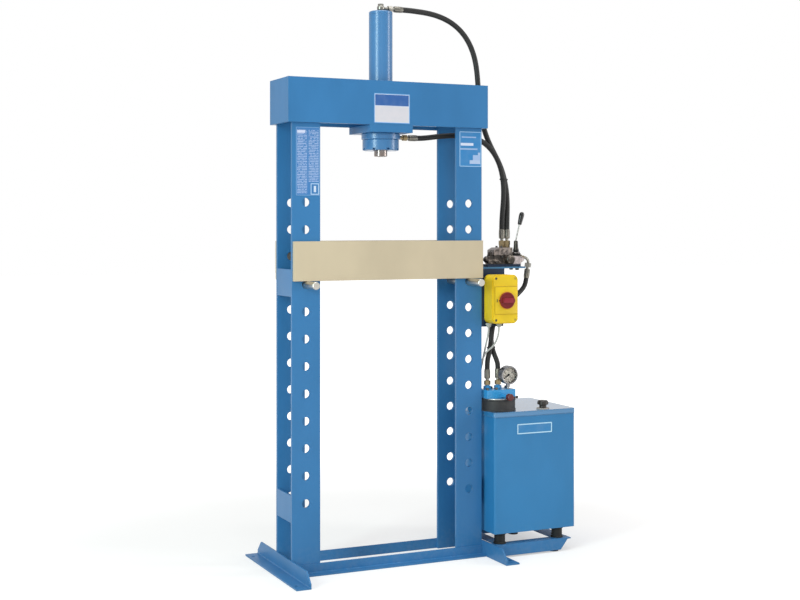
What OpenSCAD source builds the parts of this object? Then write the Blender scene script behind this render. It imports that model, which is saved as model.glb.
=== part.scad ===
// Electro-hydraulic H-frame workshop press: two drilled uprights carry a fixed
// head beam with a through-going cylinder and a pinned bed. The oil tank, pump
// unit, lever valve and isolator stand on the right-hand side.
// Origin on the floor, midway between the uprights. +X right, +Y back, +Z up.

/* [Uprights] */
// Distance between the two columns of pin holes
hole_span = 671; // [560:1:800]
// Width of an upright bar
bar_w = 110; // [90:1:132]
// Thickness of an upright bar
bar_t = 12; // [8:1:16]
// Clear gap between the front and the rear bar
bar_gap = 145; // [121:1:174]
// Diameter of a pin hole
hole_d = 32; // [30:0.5:38]
// Pitch of the pin holes
hole_pitch = 100; // [84:1:120]
// Height of the lowest pin hole
hole_first = 259; // [216:1:310]
// Number of pin holes in a bar
hole_count = 12; // [6:1:12]
// Height of a spacer plate between two bars
spacer_h = 100; // [80:1:120]

/* [Head beam] */
// Height of the underside of the head beam
beam_z = 1650; // [1600:1:1980]
// Height of the head beam's plates
beam_h = 165; // [138:1:200]
// How far the head beam reaches past an upright
beam_over = 19.5; // [16:0.5:40]
// Thickness of the head beam's side plates
beam_t = 15; // [10:1:20]
// Thickness of the head beam's end plates
beam_end_t = 12; // [8:1:16]

/* [Bed] */
// Number of the pin hole that holds the bed, from the bottom
bed_row = 9; // [3:1:10]
// Height of the bed's plates
bed_h = 145; // [120:1:174]
// Thickness of the bed's plates
bed_t = 16; // [12:1:20]
// How far the bed stops short of the uprights' outer edges
bed_short = 2.5; // [0:0.5:20]
// Diameter of a bed pin
pin_d = 28; // [24:0.5:29]
// How far a bed pin stands out in front
pin_front = 104; // [60:1:125]
// How far a bed pin stands out behind
pin_rear = 46; // [30:1:60]

/* [Feet] */
// Length of a foot angle
foot_len = 562; // [470:1:680]
// Leg of a foot angle
foot_leg = 56; // [46:1:68]
// Thickness of a foot angle
foot_t = 6; // [4:0.5:8]
// Leg of a sill angle
sill_leg = 38; // [30:1:46]
// Thickness of a sill angle
sill_t = 5; // [3:0.5:6]
// Diameter of a floor bolt hole
floor_hole_d = 14; // [12:0.5:18]

/* [Cylinder] */
// Outer diameter of the barrel
barrel_d = 90; // [84:1:108]
// Bore of the barrel
bore_d = 70; // [60:1:74]
// Height of the barrel's top
barrel_top = 2088; // [2060:1:2140]
// Diameter of the ram
ram_d = 50; // [42:1:60]
// Stroke of the ram
stroke = 200; // [160:1:210]
// Diameter of the flange ring under the mounting plate
flange_d = 147; // [134:1:172]
// Height of the flange ring
flange_h = 23; // [20:1:28]
// Diameter of the slotted gland nut
gland_d = 139; // [120:1:160]
// Height of the slotted gland nut
gland_h = 41; // [34:1:49]
// Number of spanner slots in the gland nut
gland_slots = 8; // [4:1:12]
// How far the ram stands out of the gland at rest
ram_out = 23; // [10:1:40]
// Diameter of the tool hole in the ram's end
tool_hole_d = 20; // [12:1:24]
// Depth of the tool hole
tool_hole_h = 35; // [20:1:50]

/* [Oil tank] */
// Width of the tank
tank_w = 360; // [300:1:410]
// Depth of the tank from front to back
tank_d = 352; // [300:1:400]
// Height of the tank's body
tank_h = 463; // [400:1:500]
// Sheet thickness of the tank
tank_wall = 2.5; // [2:0.5:4]
// Gap between the uprights and the tank
tank_gap = 15.5; // [10:0.5:40]
// Height of the lid's turned-down rim
lid_rim = 16; // [12:1:24]
// Height of the shelf that carries the tank
shelf_z = 50; // [44:1:60]
// Leg of the shelf's angle rails
rail_leg = 43.5; // [37:0.5:44]
// Height of a rubber mount
mount_h = 40; // [33:1:48]

/* [Pump unit] */
// Radius of the motor flange on the lid
motor_r = 68; // [58:1:70]
// Height of the motor flange
motor_h = 45; // [38:1:54]
// Height of the valve manifold
manifold_h = 32; // [27:1:38]
// Diameter of the pressure gauge's case
gauge_d = 72; // [60:1:74]

/* [Lever valve] */
// Height of the valve bracket's top face
bracket_z = 1112; // [1060:1:1120]
// Height of the valve's body
valve_h = 46; // [40:1:55]
// Diameter of the valve's spool
spool_d = 16; // [12:1:18]
// Arm from the lever's pivot to the spool
lever_arm = 22; // [20:1:26]
// Angle at which the lever leans outwards
lever_lean = 14.5; // [0:0.5:20]

/* [Isolator] */
// Width of the isolator box
box_w = 112; // [94:1:130]
// Height of the isolator box
box_h = 188; // [160:1:225]
// Depth of the isolator box
box_d = 70; // [58:1:84]
// Diameter of the isolator's knob
knob_d = 63; // [52:1:76]

/* [Hoses] */
// Outer diameter of the two upper hoses
hose_d = 21; // [16:0.5:21]
// Outer diameter of the two lower hoses
low_hose_d = 19.5; // [14:0.5:20]
// Outer diameter of a cable
cable_d = 7; // [5:0.5:8]

/* [Hidden] */
$fn = 48;

fit = 0.05;        // radial running clearance of pins, spool and ram
clear = 0.5;       // gap between parts that only pass each other
seat = 0.1;        // gap where a round part rests in a hole or on a face
edge = 1;          // small broken edge

// Frame planes
col_x = hole_span / 2;
out_x = col_x + bar_w / 2;          // outer edge of the uprights
in_x = col_x - bar_w / 2;           // inner edge of the uprights
bar_y = bar_gap / 2 + bar_t;        // outer face of the bars
beam_top = beam_z + beam_h;
beam_x = out_x + beam_over;
beam_y = bar_y + beam_t;
bar_top = beam_top - 6;
hole_z = [for (i = [0 : hole_count - 1]) hole_first + i * hole_pitch];
spacer_t = 8;
spacer_z = [hole_first - spacer_h * 0.68, hole_first + 7.55 * hole_pitch];

// Bed
bed_pin_z = hole_z[bed_row - 1] - (hole_d - pin_d) / 2 + seat;
bed_z = bed_pin_z + pin_d / 2 + seat;
bed_x = out_x - bed_short;
bed_top = bed_z + bed_h;
bed_in = bar_y + clear;
bed_spacer_t = 12;

// Feet
foot_hole_x = out_x + foot_leg - 18;
foot_hole_y = foot_len / 2 - 44;

// Cylinder, stacked down from the head beam
plate_h = 27;
plate_w = 176;
plate_z = beam_z - plate_h;
flange_z = plate_z - flange_h;
gland_z = flange_z - gland_h;
ram_z = gland_z - ram_out;
cap_h = 42;
piston_h = 80;
piston_top = barrel_top - cap_h - 4;
ram_guide_top = piston_top - piston_h - stroke - 3;
slot_w = 12;
slot_h = 8;
wiper_h = 6;

// Hydraulic ends: nut across flats, nut height, crimped sleeve
nut_af = 22;
nut_h = 16;
nut_neck_h = 8;
sleeve_d = 22;
sleeve_h = 37;
adapter_h = 11;
tube_d = 11;
bend_r = 20;
top_port_z = 2101 + barrel_top - 2088;
top_port_x = 30;
head_port_x = 92;
head_port_z = flange_z + flange_h / 2 - 1;

// Lever valve
bracket_t = 6;
bracket_y = 60;
bracket_x1 = out_x + 210;
web_x1 = out_x + 115;
web_h = 66;
pad_x = [out_x + 54.5, out_x + 203];
pad_y = 35;
pad_h = 9;
valve_x0 = out_x + 61.5;
valve_x1 = out_x + 171.5;
valve_y = 30;
valve_top = bracket_z + valve_h;
block_h = 29;
spool_y = -14;
spool_z = bracket_z + 28;
lever_x = out_x + 192.5;
pivot_z = spool_z + lever_arm;
housing_x1 = lever_x + 21;
ball_d = 9;
neck_d = 4;
port_pitch = 23;
port_x = [out_x + 136.5, out_x + 136.5 + port_pitch];
port_top_z = valve_top + block_h;
boot_z = valve_top - 4;
lever_bend_z = 1214 - 1112 + bracket_z;
lever_top = 118;
pressure_z = bracket_z + 34;
pressure_y = 15;
elbow_x = valve_x1 + 74.2;
elbow_turn = 98;
return_x = out_x + 109.5;
return_y = valve_y + 45;

// Isolator
box_x = out_x + 12;
box_z = 896;
box_y = -bar_y;
switch_t = 4;
knob_x = box_x + box_w / 2 + 2;
knob_z = box_z + box_h / 2 - 4;
gland_x = [box_x + 12, box_x + 58];
gland_y = box_y - 12.5;
gland_h2 = 16;

// Tank and shelf
tank_x0 = out_x + tank_gap;
tank_x1 = tank_x0 + tank_w;
tank_y0 = -160;
tank_y1 = tank_y0 + tank_d;
tank_z = shelf_z + mount_h;
tank_top = tank_z + tank_h;
lid_t = 3;
lid_top = tank_top + lid_t;
lid_gap = 0.4;
shelf_x0 = out_x + foot_t;
shelf_x1 = tank_x1 - 24;
shelf_y0 = tank_y0 - 10;
shelf_y1 = tank_y1 + 10;
rail_t = 4;
mount_x = [tank_x0 + 36, tank_x1 - 68];
mount_y = [tank_y0 + 25, tank_y1 - 42];
mount_r = 25;

// Pump unit
motor_x = tank_x0 + 59;
motor_y = tank_y0 + 78;
motor_top = lid_top + motor_h;
plate2_h = 3;
manifold_z = motor_top + plate2_h;
manifold_top = manifold_z + manifold_h;
manifold_x = [motor_x - 62, motor_x + 64];
manifold_y = [motor_y - 23, motor_y + 47];
supply_x = [428.5, 475.5];
supply_y = -60;
adaptor_h = 17;
gauge_x = motor_x + 38;
gauge_y = motor_y - 10;
gauge_stem_h = 19;
gauge_z = manifold_top + gauge_stem_h + gauge_d / 2;
gauge_depth = 27;
relief_x = motor_x + 7;
relief_z = manifold_z + 9;
relief_y = motor_y - motor_r - 3;
filler_x = tank_x1 - 128;
filler_y = tank_y0 + 30;
lid_gland = [[436, 40], [418, 75]];
stator_r = 50;
stator_h = 180;
pump_h = 95;

// Hose and cable routes, from the left or upper end to the other
route_top = [[91, 0, 2101], [118, 0, 2101], [160, 1, 2099], [204, 3, 2096], [250, 6, 2088],
    [296, 9, 2073], [340, 11, 2047], [377, 13, 2010], [403, 14, 1964], [418, 14, 1914],
    [425, 14, 1860], [428, 13, 1805], [432, 12, 1752], [440, 11, 1700], [453, 10, 1651],
    [471, 10, 1607], [494, 10, 1567], [517, 10, 1529], [535, 10, 1490], [547, 10, 1448],
    [554, 9, 1405], [555, 6, 1360], [552, 2, 1320], [550, 0, 1286], [550, 0, 1259]];
route_head = [[153, 0, 1610.5], [176, 0, 1610.5], [212, -6, 1615.5], [250, -10, 1620.5],
    [294, -12, 1624], [338, -13, 1624.5], [380, -13, 1621], [418, -13, 1611.5],
    [450, -13, 1594], [477, -13, 1569.5], [498, -13, 1540], [514, -13, 1505], [524, -13, 1466],
    [529, -12, 1423], [530, -9, 1378], [528, -4, 1330], [527, 0, 1288], [527, 0, 1259]];
route_pressure = [[647.5, 15, 1062.8], [643.7, 15, 1036], [626, 12, 1016], [602, 7, 999],
    [573, -3, 980], [541, -16, 962], [507, -30, 942], [477, -43, 915], [457, -53, 882],
    [449, -58, 848], [444, -60, 812], [438, -60, 780], [430, -60, 752], [428.5, -60, 734],
    [428.5, -60, 714]];
route_return = [[500, 75, 1055], [500, 75, 1036], [498, 70, 1008], [494, 58, 984],
    [488, 42, 960], [481, 23, 937], [474, 3, 914], [467, -16, 889], [462, -29, 861],
    [458, -37, 831], [458, -43, 802], [462, -51, 774], [469, -59, 752], [474.5, -60, 735],
    [475.5, -60, 725], [475.5, -60, 714]];
route_left = [[414, -97, 880], [414, -97, 862], [414, -88, 838], [415, -75, 813],
    [418, -59, 788], [421, -42, 761], [425, -24, 732], [428, -6, 702], [431, 11, 670],
    [434, 27, 638], [436, 38, 610], [436, 40, 596], [436, 40, 580]];
route_right = [[460, -97, 880], [460, -97, 862], [458, -93, 842], [453, -86, 822],
    [445, -80, 806], [434, -78, 796], [422, -75, 787], [413, -69, 774], [409, -60, 756],
    [408, -46, 730], [410, -28, 700], [413, -6, 670], [416, 20, 640], [418, 50, 614],
    [418, 71, 602], [418, 75, 592], [418, 75, 580]];

// ---------- helpers ----------

// Unit vector from a to b
function dir(a, b) = (b - a) / norm(b - a);
// Tangent of a route at its point i
function tangent(p, i) = i == 0 ? dir(p[0], p[1])
    : i == len(p) - 1 ? dir(p[i - 1], p[i]) : dir(p[i - 1], p[i + 1]);
// Side vector across a tangent, level where the route runs across the part
function side(t) = let (s = cross(t, [0, 1, 0])) s / norm(s);
// Ring of n points round a route's point
function ring(p, i, r, n) = let (t = tangent(p, i), u = side(t), v = cross(u, t))
    [for (k = [0 : n - 1]) p[i] + r * (cos(360 * k / n) * u + sin(360 * k / n) * v)];
// Point of a falling route at height z
function at_z(p, z, i = 0) = p[i + 1][2] <= z
    ? p[i] + (p[i + 1] - p[i]) * (p[i][2] - z) / (p[i][2] - p[i + 1][2]) : at_z(p, z, i + 1);

// Flexible line of diameter d along a route
module sweep(p, d, n = 10) {
    m = len(p);
    points = [for (i = [0 : m - 1]) each ring(p, i, d / 2, n)];
    walls = [for (i = [0 : m - 2], k = [0 : n - 1]) let (k2 = (k + 1) % n)
        [i * n + k, (i + 1) * n + k, (i + 1) * n + k2, i * n + k2]];
    first = [for (k = [0 : n - 1]) k];
    last = [for (k = [n - 1 : -1 : 0]) (m - 1) * n + k];
    polyhedron(points, concat(walls, [first, last]));
}

// Box from one corner to the opposite one
module block(a, b) {
    translate(a) cube(b - a);
}

// Flat outline with round corners
module round_rect(w, h, r) {
    translate([-w / 2 + r, -h / 2]) square([w - 2 * r, h]);
    translate([-w / 2, -h / 2 + r]) square([w, h - 2 * r]);
    for (x = [-1, 1], y = [-1, 1]) translate([x * (w / 2 - r), y * (h / 2 - r)]) circle(r, $fn = 32);
}

// Upright box with round vertical edges
module round_box(w, d, h, r) {
    linear_extrude(h) round_rect(w, d, r);
}

// Angle section with its corner at the origin, legs along +X and +Y
module angle_section(leg, t, r = 3) {
    difference() {
        square(leg);
        translate([t + r, t]) square(leg);
        translate([t, t + r]) square(leg);
        translate([t + r, t + r]) circle(r, $fn = 24);
    }
}

// Disc with a bevelled rim at the top
module disc(d, h, c = edge) {
    rotate_extrude() polygon([[0, 0], [d / 2, 0], [d / 2, h - c], [d / 2 - c, h], [0, h]]);
}

// Ring with bevelled outer edges
module bush(d, bore, h, c = edge) {
    rotate_extrude() polygon([[bore / 2, 0], [d / 2 - c, 0], [d / 2, c], [d / 2, h - c],
        [d / 2 - c, h], [bore / 2, h]]);
}

// Hexagon bar, measured across its flats
module hex(af, h) {
    rotate(30) cylinder(d = af / cos(30), h = h, $fn = 6);
}

// Union nut and crimped sleeve of a hose, standing on its port
module hose_end() {
    hex(nut_af, nut_h);
    translate([0, 0, nut_h]) cylinder(d = 13, h = nut_neck_h);
    translate([0, 0, nut_h + nut_neck_h]) rotate_extrude()
        polygon([[0, 0], [8, 0], [sleeve_d / 2 - 1, 2], [sleeve_d / 2, 4],
            [sleeve_d / 2, sleeve_h * 0.3], [sleeve_d / 2 - 0.8, sleeve_h * 0.36],
            [sleeve_d / 2 - 0.8, sleeve_h * 0.6], [sleeve_d / 2, sleeve_h * 0.66],
            [sleeve_d / 2, sleeve_h - 1], [sleeve_d / 2 - 1, sleeve_h], [0, sleeve_h]]);
}

// Steel tube bent through an angle in the XZ plane, starting along +X at the origin
module tube_bend(angle) {
    translate([0, 0, -bend_r]) rotate([90, 0, 0]) rotate([0, 0, 90 - angle])
        rotate_extrude(angle = angle) translate([bend_r, 0]) circle(d = tube_d, $fn = 24);
}

// ---------- welded frame ----------

module upright(s) {
    color([0.27, 0.47, 0.68]) for (f = [-1, 1]) difference() {
        translate([s * col_x - bar_w / 2, f * (bar_y - bar_t / 2) - bar_t / 2, 0])
            cube([bar_w, bar_t, bar_top]);
        for (z = hole_z) translate([s * col_x, f * (bar_y - bar_t / 2), z])
            rotate([90, 0, 0]) cylinder(d = hole_d, h = bar_t + 2, center = true);
    }
}

module upright_left() {
    upright(-1);
}

module upright_right() {
    upright(1);
}

module upright_spacers() {
    color([0.36, 0.57, 0.76]) for (s = [-1, 1], z = spacer_z)
        translate([s * (out_x - spacer_t / 2) - spacer_t / 2, -bar_gap / 2, z])
            cube([spacer_t, bar_gap, spacer_h]);
}

module beam_plates() {
    color([0.30, 0.52, 0.73]) for (f = [-1, 1])
        translate([-beam_x, f * (bar_y + beam_t / 2) - beam_t / 2, beam_z])
            cube([2 * beam_x, beam_t, beam_h]);
}

module beam_ends() {
    color([0.36, 0.57, 0.76]) for (s = [-1, 1])
        translate([s * (beam_x - beam_end_t / 2) - beam_end_t / 2, -bar_y, beam_z])
            cube([beam_end_t, 2 * bar_y, beam_h]);
}

module cylinder_plate() {
    color([0.16, 0.37, 0.58]) difference() {
        translate([-plate_w / 2, -beam_y, plate_z]) cube([plate_w, 2 * beam_y, plate_h]);
        translate([0, 0, plate_z - 1]) cylinder(d = barrel_d + 2 * clear, h = plate_h + 2, $fn = 96);
    }
}

// Foot angle: upright leg on the bars' outer edges, cut at both ends
module foot(s) {
    cut = foot_leg - foot_t - 13;
    mirror([s < 0 ? 1 : 0, 0, 0]) translate([out_x, 0, 0]) difference() {
        translate([0, foot_len / 2, 0]) rotate([90, 0, 0])
            linear_extrude(foot_len) angle_section(foot_leg, foot_t);
        for (f = [-1, 1]) translate([foot_t, f * foot_len / 2, foot_leg]) rotate([45, 0, 0])
            cube([4 * foot_t, cut * sqrt(2), cut * sqrt(2)], center = true);
        for (f = [-1, 1]) translate([foot_hole_x - out_x, f * foot_hole_y, -1])
            cylinder(d = floor_hole_d, h = foot_t + 2);
    }
}

module feet() {
    color([0.30, 0.52, 0.73]) for (s = [-1, 1]) foot(s);
}

module sills() {
    color([0.30, 0.52, 0.73]) for (f = [0, 1]) mirror([0, f, 0])
        translate([-out_x, -bar_y, 0]) rotate([0, 0, -90]) rotate([90, 0, 0])
            translate([0, 0, -2 * out_x]) linear_extrude(2 * out_x) angle_section(sill_leg, sill_t);
}

// ---------- bed ----------

module bed_pins() {
    len_pin = pin_front + pin_rear + 2 * bar_y;
    color([0.72, 0.72, 0.70]) for (s = [-1, 1])
        translate([s * col_x, -bar_y - pin_front, bed_pin_z]) rotate([-90, 0, 0])
            rotate_extrude() polygon([[0, 0], [pin_d / 2 - 2, 0], [pin_d / 2, 2],
                [pin_d / 2, len_pin - 2], [pin_d / 2 - 2, len_pin], [0, len_pin]]);
}

module bed_plates() {
    color([0.80, 0.75, 0.62]) for (f = [-1, 1])
        translate([-bed_x, f * (bed_in + bed_t / 2) - bed_t / 2, bed_z])
            cube([2 * bed_x, bed_t, bed_h]);
}

module bed_spacers() {
    h = bed_h - 30;
    color([0.74, 0.69, 0.56]) for (s = [-1, 1])
        translate([s * (in_x - 6 - bed_spacer_t / 2) - bed_spacer_t / 2, -bed_in, bed_z + 15])
            cube([bed_spacer_t, 2 * bed_in, h]);
}

// ---------- cylinder ----------

module cylinder_barrel() {
    color([0.27, 0.47, 0.68]) translate([0, 0, flange_z])
        bush(barrel_d, bore_d, barrel_top - flange_z - 12, 0.5);
}

module cylinder_cap() {
    color([0.27, 0.47, 0.68]) difference() {
        translate([0, 0, barrel_top - cap_h]) rotate_extrude()
            polygon([[0, 0], [bore_d / 2 - fit, 0], [bore_d / 2 - fit, cap_h - 12],
                [barrel_d / 2, cap_h - 12], [barrel_d / 2, cap_h - 3], [barrel_d / 2 - 3, cap_h],
                [0, cap_h]]);
        translate([0, 0, barrel_top - cap_h - 1]) cylinder(d = 8, h = cap_h + 2);
    }
}

module flange_ring() {
    color([0.27, 0.47, 0.68]) difference() {
        translate([0, 0, flange_z]) bush(flange_d, barrel_d + 2 * fit, flange_h, 2);
        translate([barrel_d / 2 - 2, 0, head_port_z]) rotate([0, 90, 0]) cylinder(d = 8, h = 40);
        translate([flange_d / 2 - 8, 0, head_port_z]) rotate([0, 90, 0]) cylinder(d = 15, h = 20);
    }
}

// Gland nut: slotted rim below, guide sleeve for the ram above
module gland_nut() {
    guide = ram_guide_top - flange_z;
    color([0.25, 0.43, 0.62]) difference() {
        translate([0, 0, gland_z]) rotate_extrude($fn = 96)
            polygon([[ram_d / 2 + fit, wiper_h], [ram_d / 2 + 6, wiper_h], [ram_d / 2 + 6, 0],
                [gland_d / 2 - 2, 0], [gland_d / 2, 2], [gland_d / 2, gland_h - 2],
                [gland_d / 2 - 2, gland_h], [bore_d / 2 - fit, gland_h],
                [bore_d / 2 - fit, gland_h + guide], [ram_d / 2 + fit, gland_h + guide]]);
        for (k = [0 : gland_slots - 1]) rotate(360 * k / gland_slots)
            translate([gland_d / 2 - 14, -slot_w / 2, gland_z - 1])
                cube([20, slot_w, slot_h + 1]);
    }
}

module rod_wiper() {
    color([0.12, 0.12, 0.12]) translate([0, 0, gland_z + 0.3]) rotate_extrude()
        polygon([[ram_d / 2 + fit, 0], [ram_d / 2 + 4, 0], [ram_d / 2 + 6 - fit, 1.5],
            [ram_d / 2 + 6 - fit, wiper_h - 0.3], [ram_d / 2 + fit, wiper_h - 0.3]]);
}

module ram_rod() {
    rod_top = piston_top - piston_h;
    color([0.80, 0.80, 0.82]) difference() {
        translate([0, 0, ram_z]) rotate_extrude($fn = 64)
            polygon([[0, 0], [ram_d / 2 - 2, 0], [ram_d / 2, 2], [ram_d / 2, rod_top - ram_z],
                [17, rod_top - ram_z], [17, piston_top - 12 - ram_z], [0, piston_top - 12 - ram_z]]);
        translate([0, 0, ram_z - 1]) cylinder(d = tool_hole_d, h = tool_hole_h + 1);
    }
}

// Piston: a grooved body on the ram's spigot and its retaining nut, as two solids
module ram_piston() {
    r = bore_d / 2 - fit;
    groove = 4;
    color([0.55, 0.56, 0.58]) {
        translate([0, 0, piston_top - piston_h]) rotate_extrude($fn = 64)
            polygon([[17 + fit, 0], [r - 1, 0], [r, 1], [r, 16], [r - groove, 16], [r - groove, 24],
                [r, 24], [r, 40], [r - groove, 40], [r - groove, 48], [r, 48], [r, piston_h - 23],
                [r - 1, piston_h - 22], [17 + fit, piston_h - 22]]);
        translate([0, 0, piston_top - 22]) difference() {
            hex(46, 20);
            translate([0, 0, -1]) cylinder(r = 17 + fit, h = 22);
        }
    }
}

module piston_seals() {
    r = bore_d / 2 - fit;
    color([0.12, 0.12, 0.12]) for (z = [16, 40]) translate([0, 0, piston_top - piston_h + z])
        rotate_extrude($fn = 64) polygon([[r - 3.8, 0], [r, 0], [r, 8], [r - 3.8, 8]]);
}

// ---------- hoses, pipes and cables ----------

module hose_ends() {
    color([0.74, 0.72, 0.64]) {
        translate([top_port_x, 0, top_port_z]) rotate([0, 90, 0]) hose_end();
        translate([head_port_x, 0, head_port_z]) rotate([0, 90, 0]) hose_end();
        for (x = port_x) translate([x, 0, port_top_z + adapter_h]) hose_end();
        translate([elbow_x + bend_r * sin(elbow_turn), pressure_y,
            pressure_z - bend_r * (1 - cos(elbow_turn))]) rotate([0, 90 + elbow_turn, 0]) hose_end();
        translate([return_x, return_y, spool_z - bend_r - 4]) rotate([180, 0, 0]) hose_end();
        for (x = supply_x) translate([x, supply_y, manifold_top + adaptor_h]) hose_end();
    }
}

// Adaptors and bent steel pipes between the ports and the hoses
module pipe_fittings() {
    color([0.76, 0.74, 0.68]) {
        translate([0, 0, barrel_top]) hex(26, 6);
        translate([0, 0, barrel_top + 6]) rotate_extrude() polygon([[0, 0], [11, 0], [14, 3],
            [14, 12], [12, 16], [0, 16]]);
        translate([0, 0, barrel_top + 22]) hex(19, 8);
        translate([13, 0, top_port_z]) rotate([0, 90, 0]) cylinder(d = 12, h = top_port_x - 13);
        translate([flange_d / 2 - 8, 0, head_port_z]) rotate([0, 90, 0])
            cylinder(d = 15 - 2 * seat, h = head_port_x - flange_d / 2 + 8);
        for (x = port_x) translate([x, 0, port_top_z]) hex(20, adapter_h);
        translate([valve_x1, pressure_y, pressure_z]) rotate([0, 90, 0]) {
            cylinder(d = 20, h = 44);
            translate([0, 0, 44]) rotate(30) hex(22, 18);
            translate([0, 0, 62]) cylinder(d = tube_d + 4, h = elbow_x - valve_x1 - 62);
        }
        translate([elbow_x, pressure_y, pressure_z]) tube_bend(elbow_turn);
        translate([return_x, valve_y, spool_z - 4]) rotate([-90, 0, 0]) {
            hex(24, 14);
            cylinder(d = tube_d + 4, h = return_y - valve_y - bend_r);
        }
        translate([return_x, return_y - bend_r, spool_z - 4]) rotate(90) tube_bend(90);
    }
}

module hose_top() {
    color([0.16, 0.16, 0.16]) sweep(route_top, hose_d);
}

module hose_head() {
    color([0.16, 0.16, 0.16]) sweep(route_head, hose_d);
}

module hose_pressure() {
    color([0.16, 0.16, 0.16]) sweep(route_pressure, low_hose_d);
}

module hose_return() {
    color([0.16, 0.16, 0.16]) sweep(route_return, low_hose_d);
}

// Strap round two hoses of diameter d at height z
module tie(p, q, z, d) {
    a = at_z(p, z);
    b = at_z(q, z);
    r = d / 2 + 1.6;
    translate((a + b) / 2) rotate(atan2(b[1] - a[1], b[0] - a[0])) translate([0, 0, -2.5])
        linear_extrude(5) difference() {
            round_rect(norm(a - b) + 2 * r + 3, 2 * r + 3, r + 1.45);
            round_rect(norm(a - b) + 2 * r, 2 * r, r - 0.05);
        }
}

module hose_ties() {
    color([0.10, 0.10, 0.10]) {
        tie(route_top, route_head, 1457, hose_d);
        tie(route_pressure, route_return, 797, low_hose_d);
    }
}

module cable_left() {
    color([0.60, 0.60, 0.58]) sweep(route_left, cable_d, 8);
}

module cable_right() {
    color([0.60, 0.60, 0.58]) sweep(route_right, cable_d, 8);
}

// Cable gland: hexagon and domed nut
module gland(h) {
    rotate(30) hex(22, h * 0.45);
    translate([0, 0, h * 0.45]) rotate_extrude()
        polygon([[0, 0], [9, 0], [9, h * 0.3], [6, h * 0.55], [0, h * 0.55]]);
}

module cable_glands() {
    color([0.62, 0.62, 0.60]) {
        for (x = gland_x) translate([x, gland_y, box_z]) rotate([180, 0, 0]) gland(gland_h2);
        for (p = lid_gland) translate([p[0], p[1], lid_top]) gland(580 - lid_top);
    }
}

// ---------- lever valve ----------

module valve_bracket() {
    color([0.13, 0.30, 0.48]) {
        block([out_x, -bracket_y, bracket_z - bracket_t], [bracket_x1, bracket_y, bracket_z]);
        block([pad_x[0], -pad_y, bracket_z], [pad_x[1], pad_y, bracket_z + pad_h]);
        for (f = [-1, 1]) translate([out_x, f * (bracket_y - 3) - 3, bracket_z - bracket_t - web_h])
            cube([web_x1 - out_x, 6, web_h]);
    }
}

module valve_body() {
    color([0.26, 0.24, 0.23]) difference() {
        union() {
            block([valve_x0 + 24, -valve_y, bracket_z + pad_h], [valve_x1, valve_y, valve_top]);
            block([valve_x0, spool_y - 14, bracket_z + pad_h + 3],
                [valve_x0 + 24, spool_y + 14, valve_top - 5]);
            translate([0, valve_y - 2, valve_top]) rotate([90, 0, 0]) linear_extrude(2 * valve_y - 4)
                polygon([[valve_x0 + 25, 0], [lever_x - 23, 0], [lever_x - 23, block_h],
                    [valve_x0 + 44, block_h], [valve_x0 + 25, block_h - 10]]);
            translate([valve_x0 + 14, spool_y, valve_top - 5]) disc(17, 18, 4);
            translate([valve_x1 - 22, -valve_y, spool_z]) rotate([90, 0, 0]) disc(36, 24, 3);
        }
        translate([valve_x0 - 1, spool_y, spool_z]) rotate([0, 90, 0])
            cylinder(d = spool_d + 2 * fit, h = valve_x1 - valve_x0 + 2);
        for (x = port_x) translate([x, 0, port_top_z - 20]) cylinder(d = 9, h = 21);
    }
}

module valve_spring_cap() {
    color([0.22, 0.21, 0.20]) translate([valve_x0, spool_y, spool_z]) rotate([0, -90, 0])
        difference() {
            rotate_extrude() polygon([[0, 0], [13, 0], [13, 6], [10.5, 10], [5, 15], [3, 17], [0, 17]]);
            translate([0, 0, -1]) cylinder(d = spool_d + 1, h = 10);
        }
}

// Housing of the lever: spool bore across, round neck above with the pivot's bearings
module lever_housing() {
    color([0.58, 0.56, 0.53]) difference() {
        union() {
            block([valve_x1, spool_y - 16, bracket_z + pad_h], [housing_x1 - 6, spool_y + 14, boot_z]);
            translate([housing_x1 - 6, spool_y, spool_z]) rotate([0, 90, 0]) rotate_extrude()
                polygon([[0, 0], [14, 0], [14, 6], [8, 18], [0, 18]]);
            translate([lever_x, spool_y, boot_z]) cylinder(d = 30, h = pivot_z + 7 - boot_z);
        }
        translate([valve_x1 - 1, spool_y, spool_z]) rotate([0, 90, 0])
            cylinder(d = spool_d + 2 * fit, h = housing_x1 - valve_x1 - 4);
        translate([lever_x, spool_y, spool_z]) cylinder(d = 20, h = 60);
        translate([lever_x, spool_y + 20, pivot_z]) rotate([90, 0, 0])
            cylinder(d = 6 + 2 * fit, h = 40);
    }
}

module valve_spool() {
    x0 = valve_x0 + 1;
    x1 = lever_x + 9;
    color([0.78, 0.78, 0.80]) difference() {
        translate([x0, spool_y, spool_z]) rotate([0, 90, 0]) cylinder(d = spool_d, h = x1 - x0);
        for (x = [x0 + 28, x0 + 52, x0 + 76]) translate([x, spool_y, spool_z]) rotate([0, 90, 0])
            difference() {
                cylinder(d = spool_d + 2, h = 10);
                translate([0, 0, -1]) cylinder(d = spool_d - 6, h = 12);
            }
        block([lever_x - 4.8, spool_y - 5.2, spool_z - 5.2],
            [lever_x + 4.8, spool_y + 5.2, spool_z + spool_d]);
    }
}

// Fixed lower part of the rubber boot
module valve_boot() {
    color([0.10, 0.10, 0.10]) translate([lever_x, spool_y, boot_z]) rotate_extrude()
        polygon([[15.4, 0], [20.5, 0], [20.5, 4], [18.5, 6], [19.5, 9], [17.6, 12], [17.6, 14],
            [15.4, 14]]);
}

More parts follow.
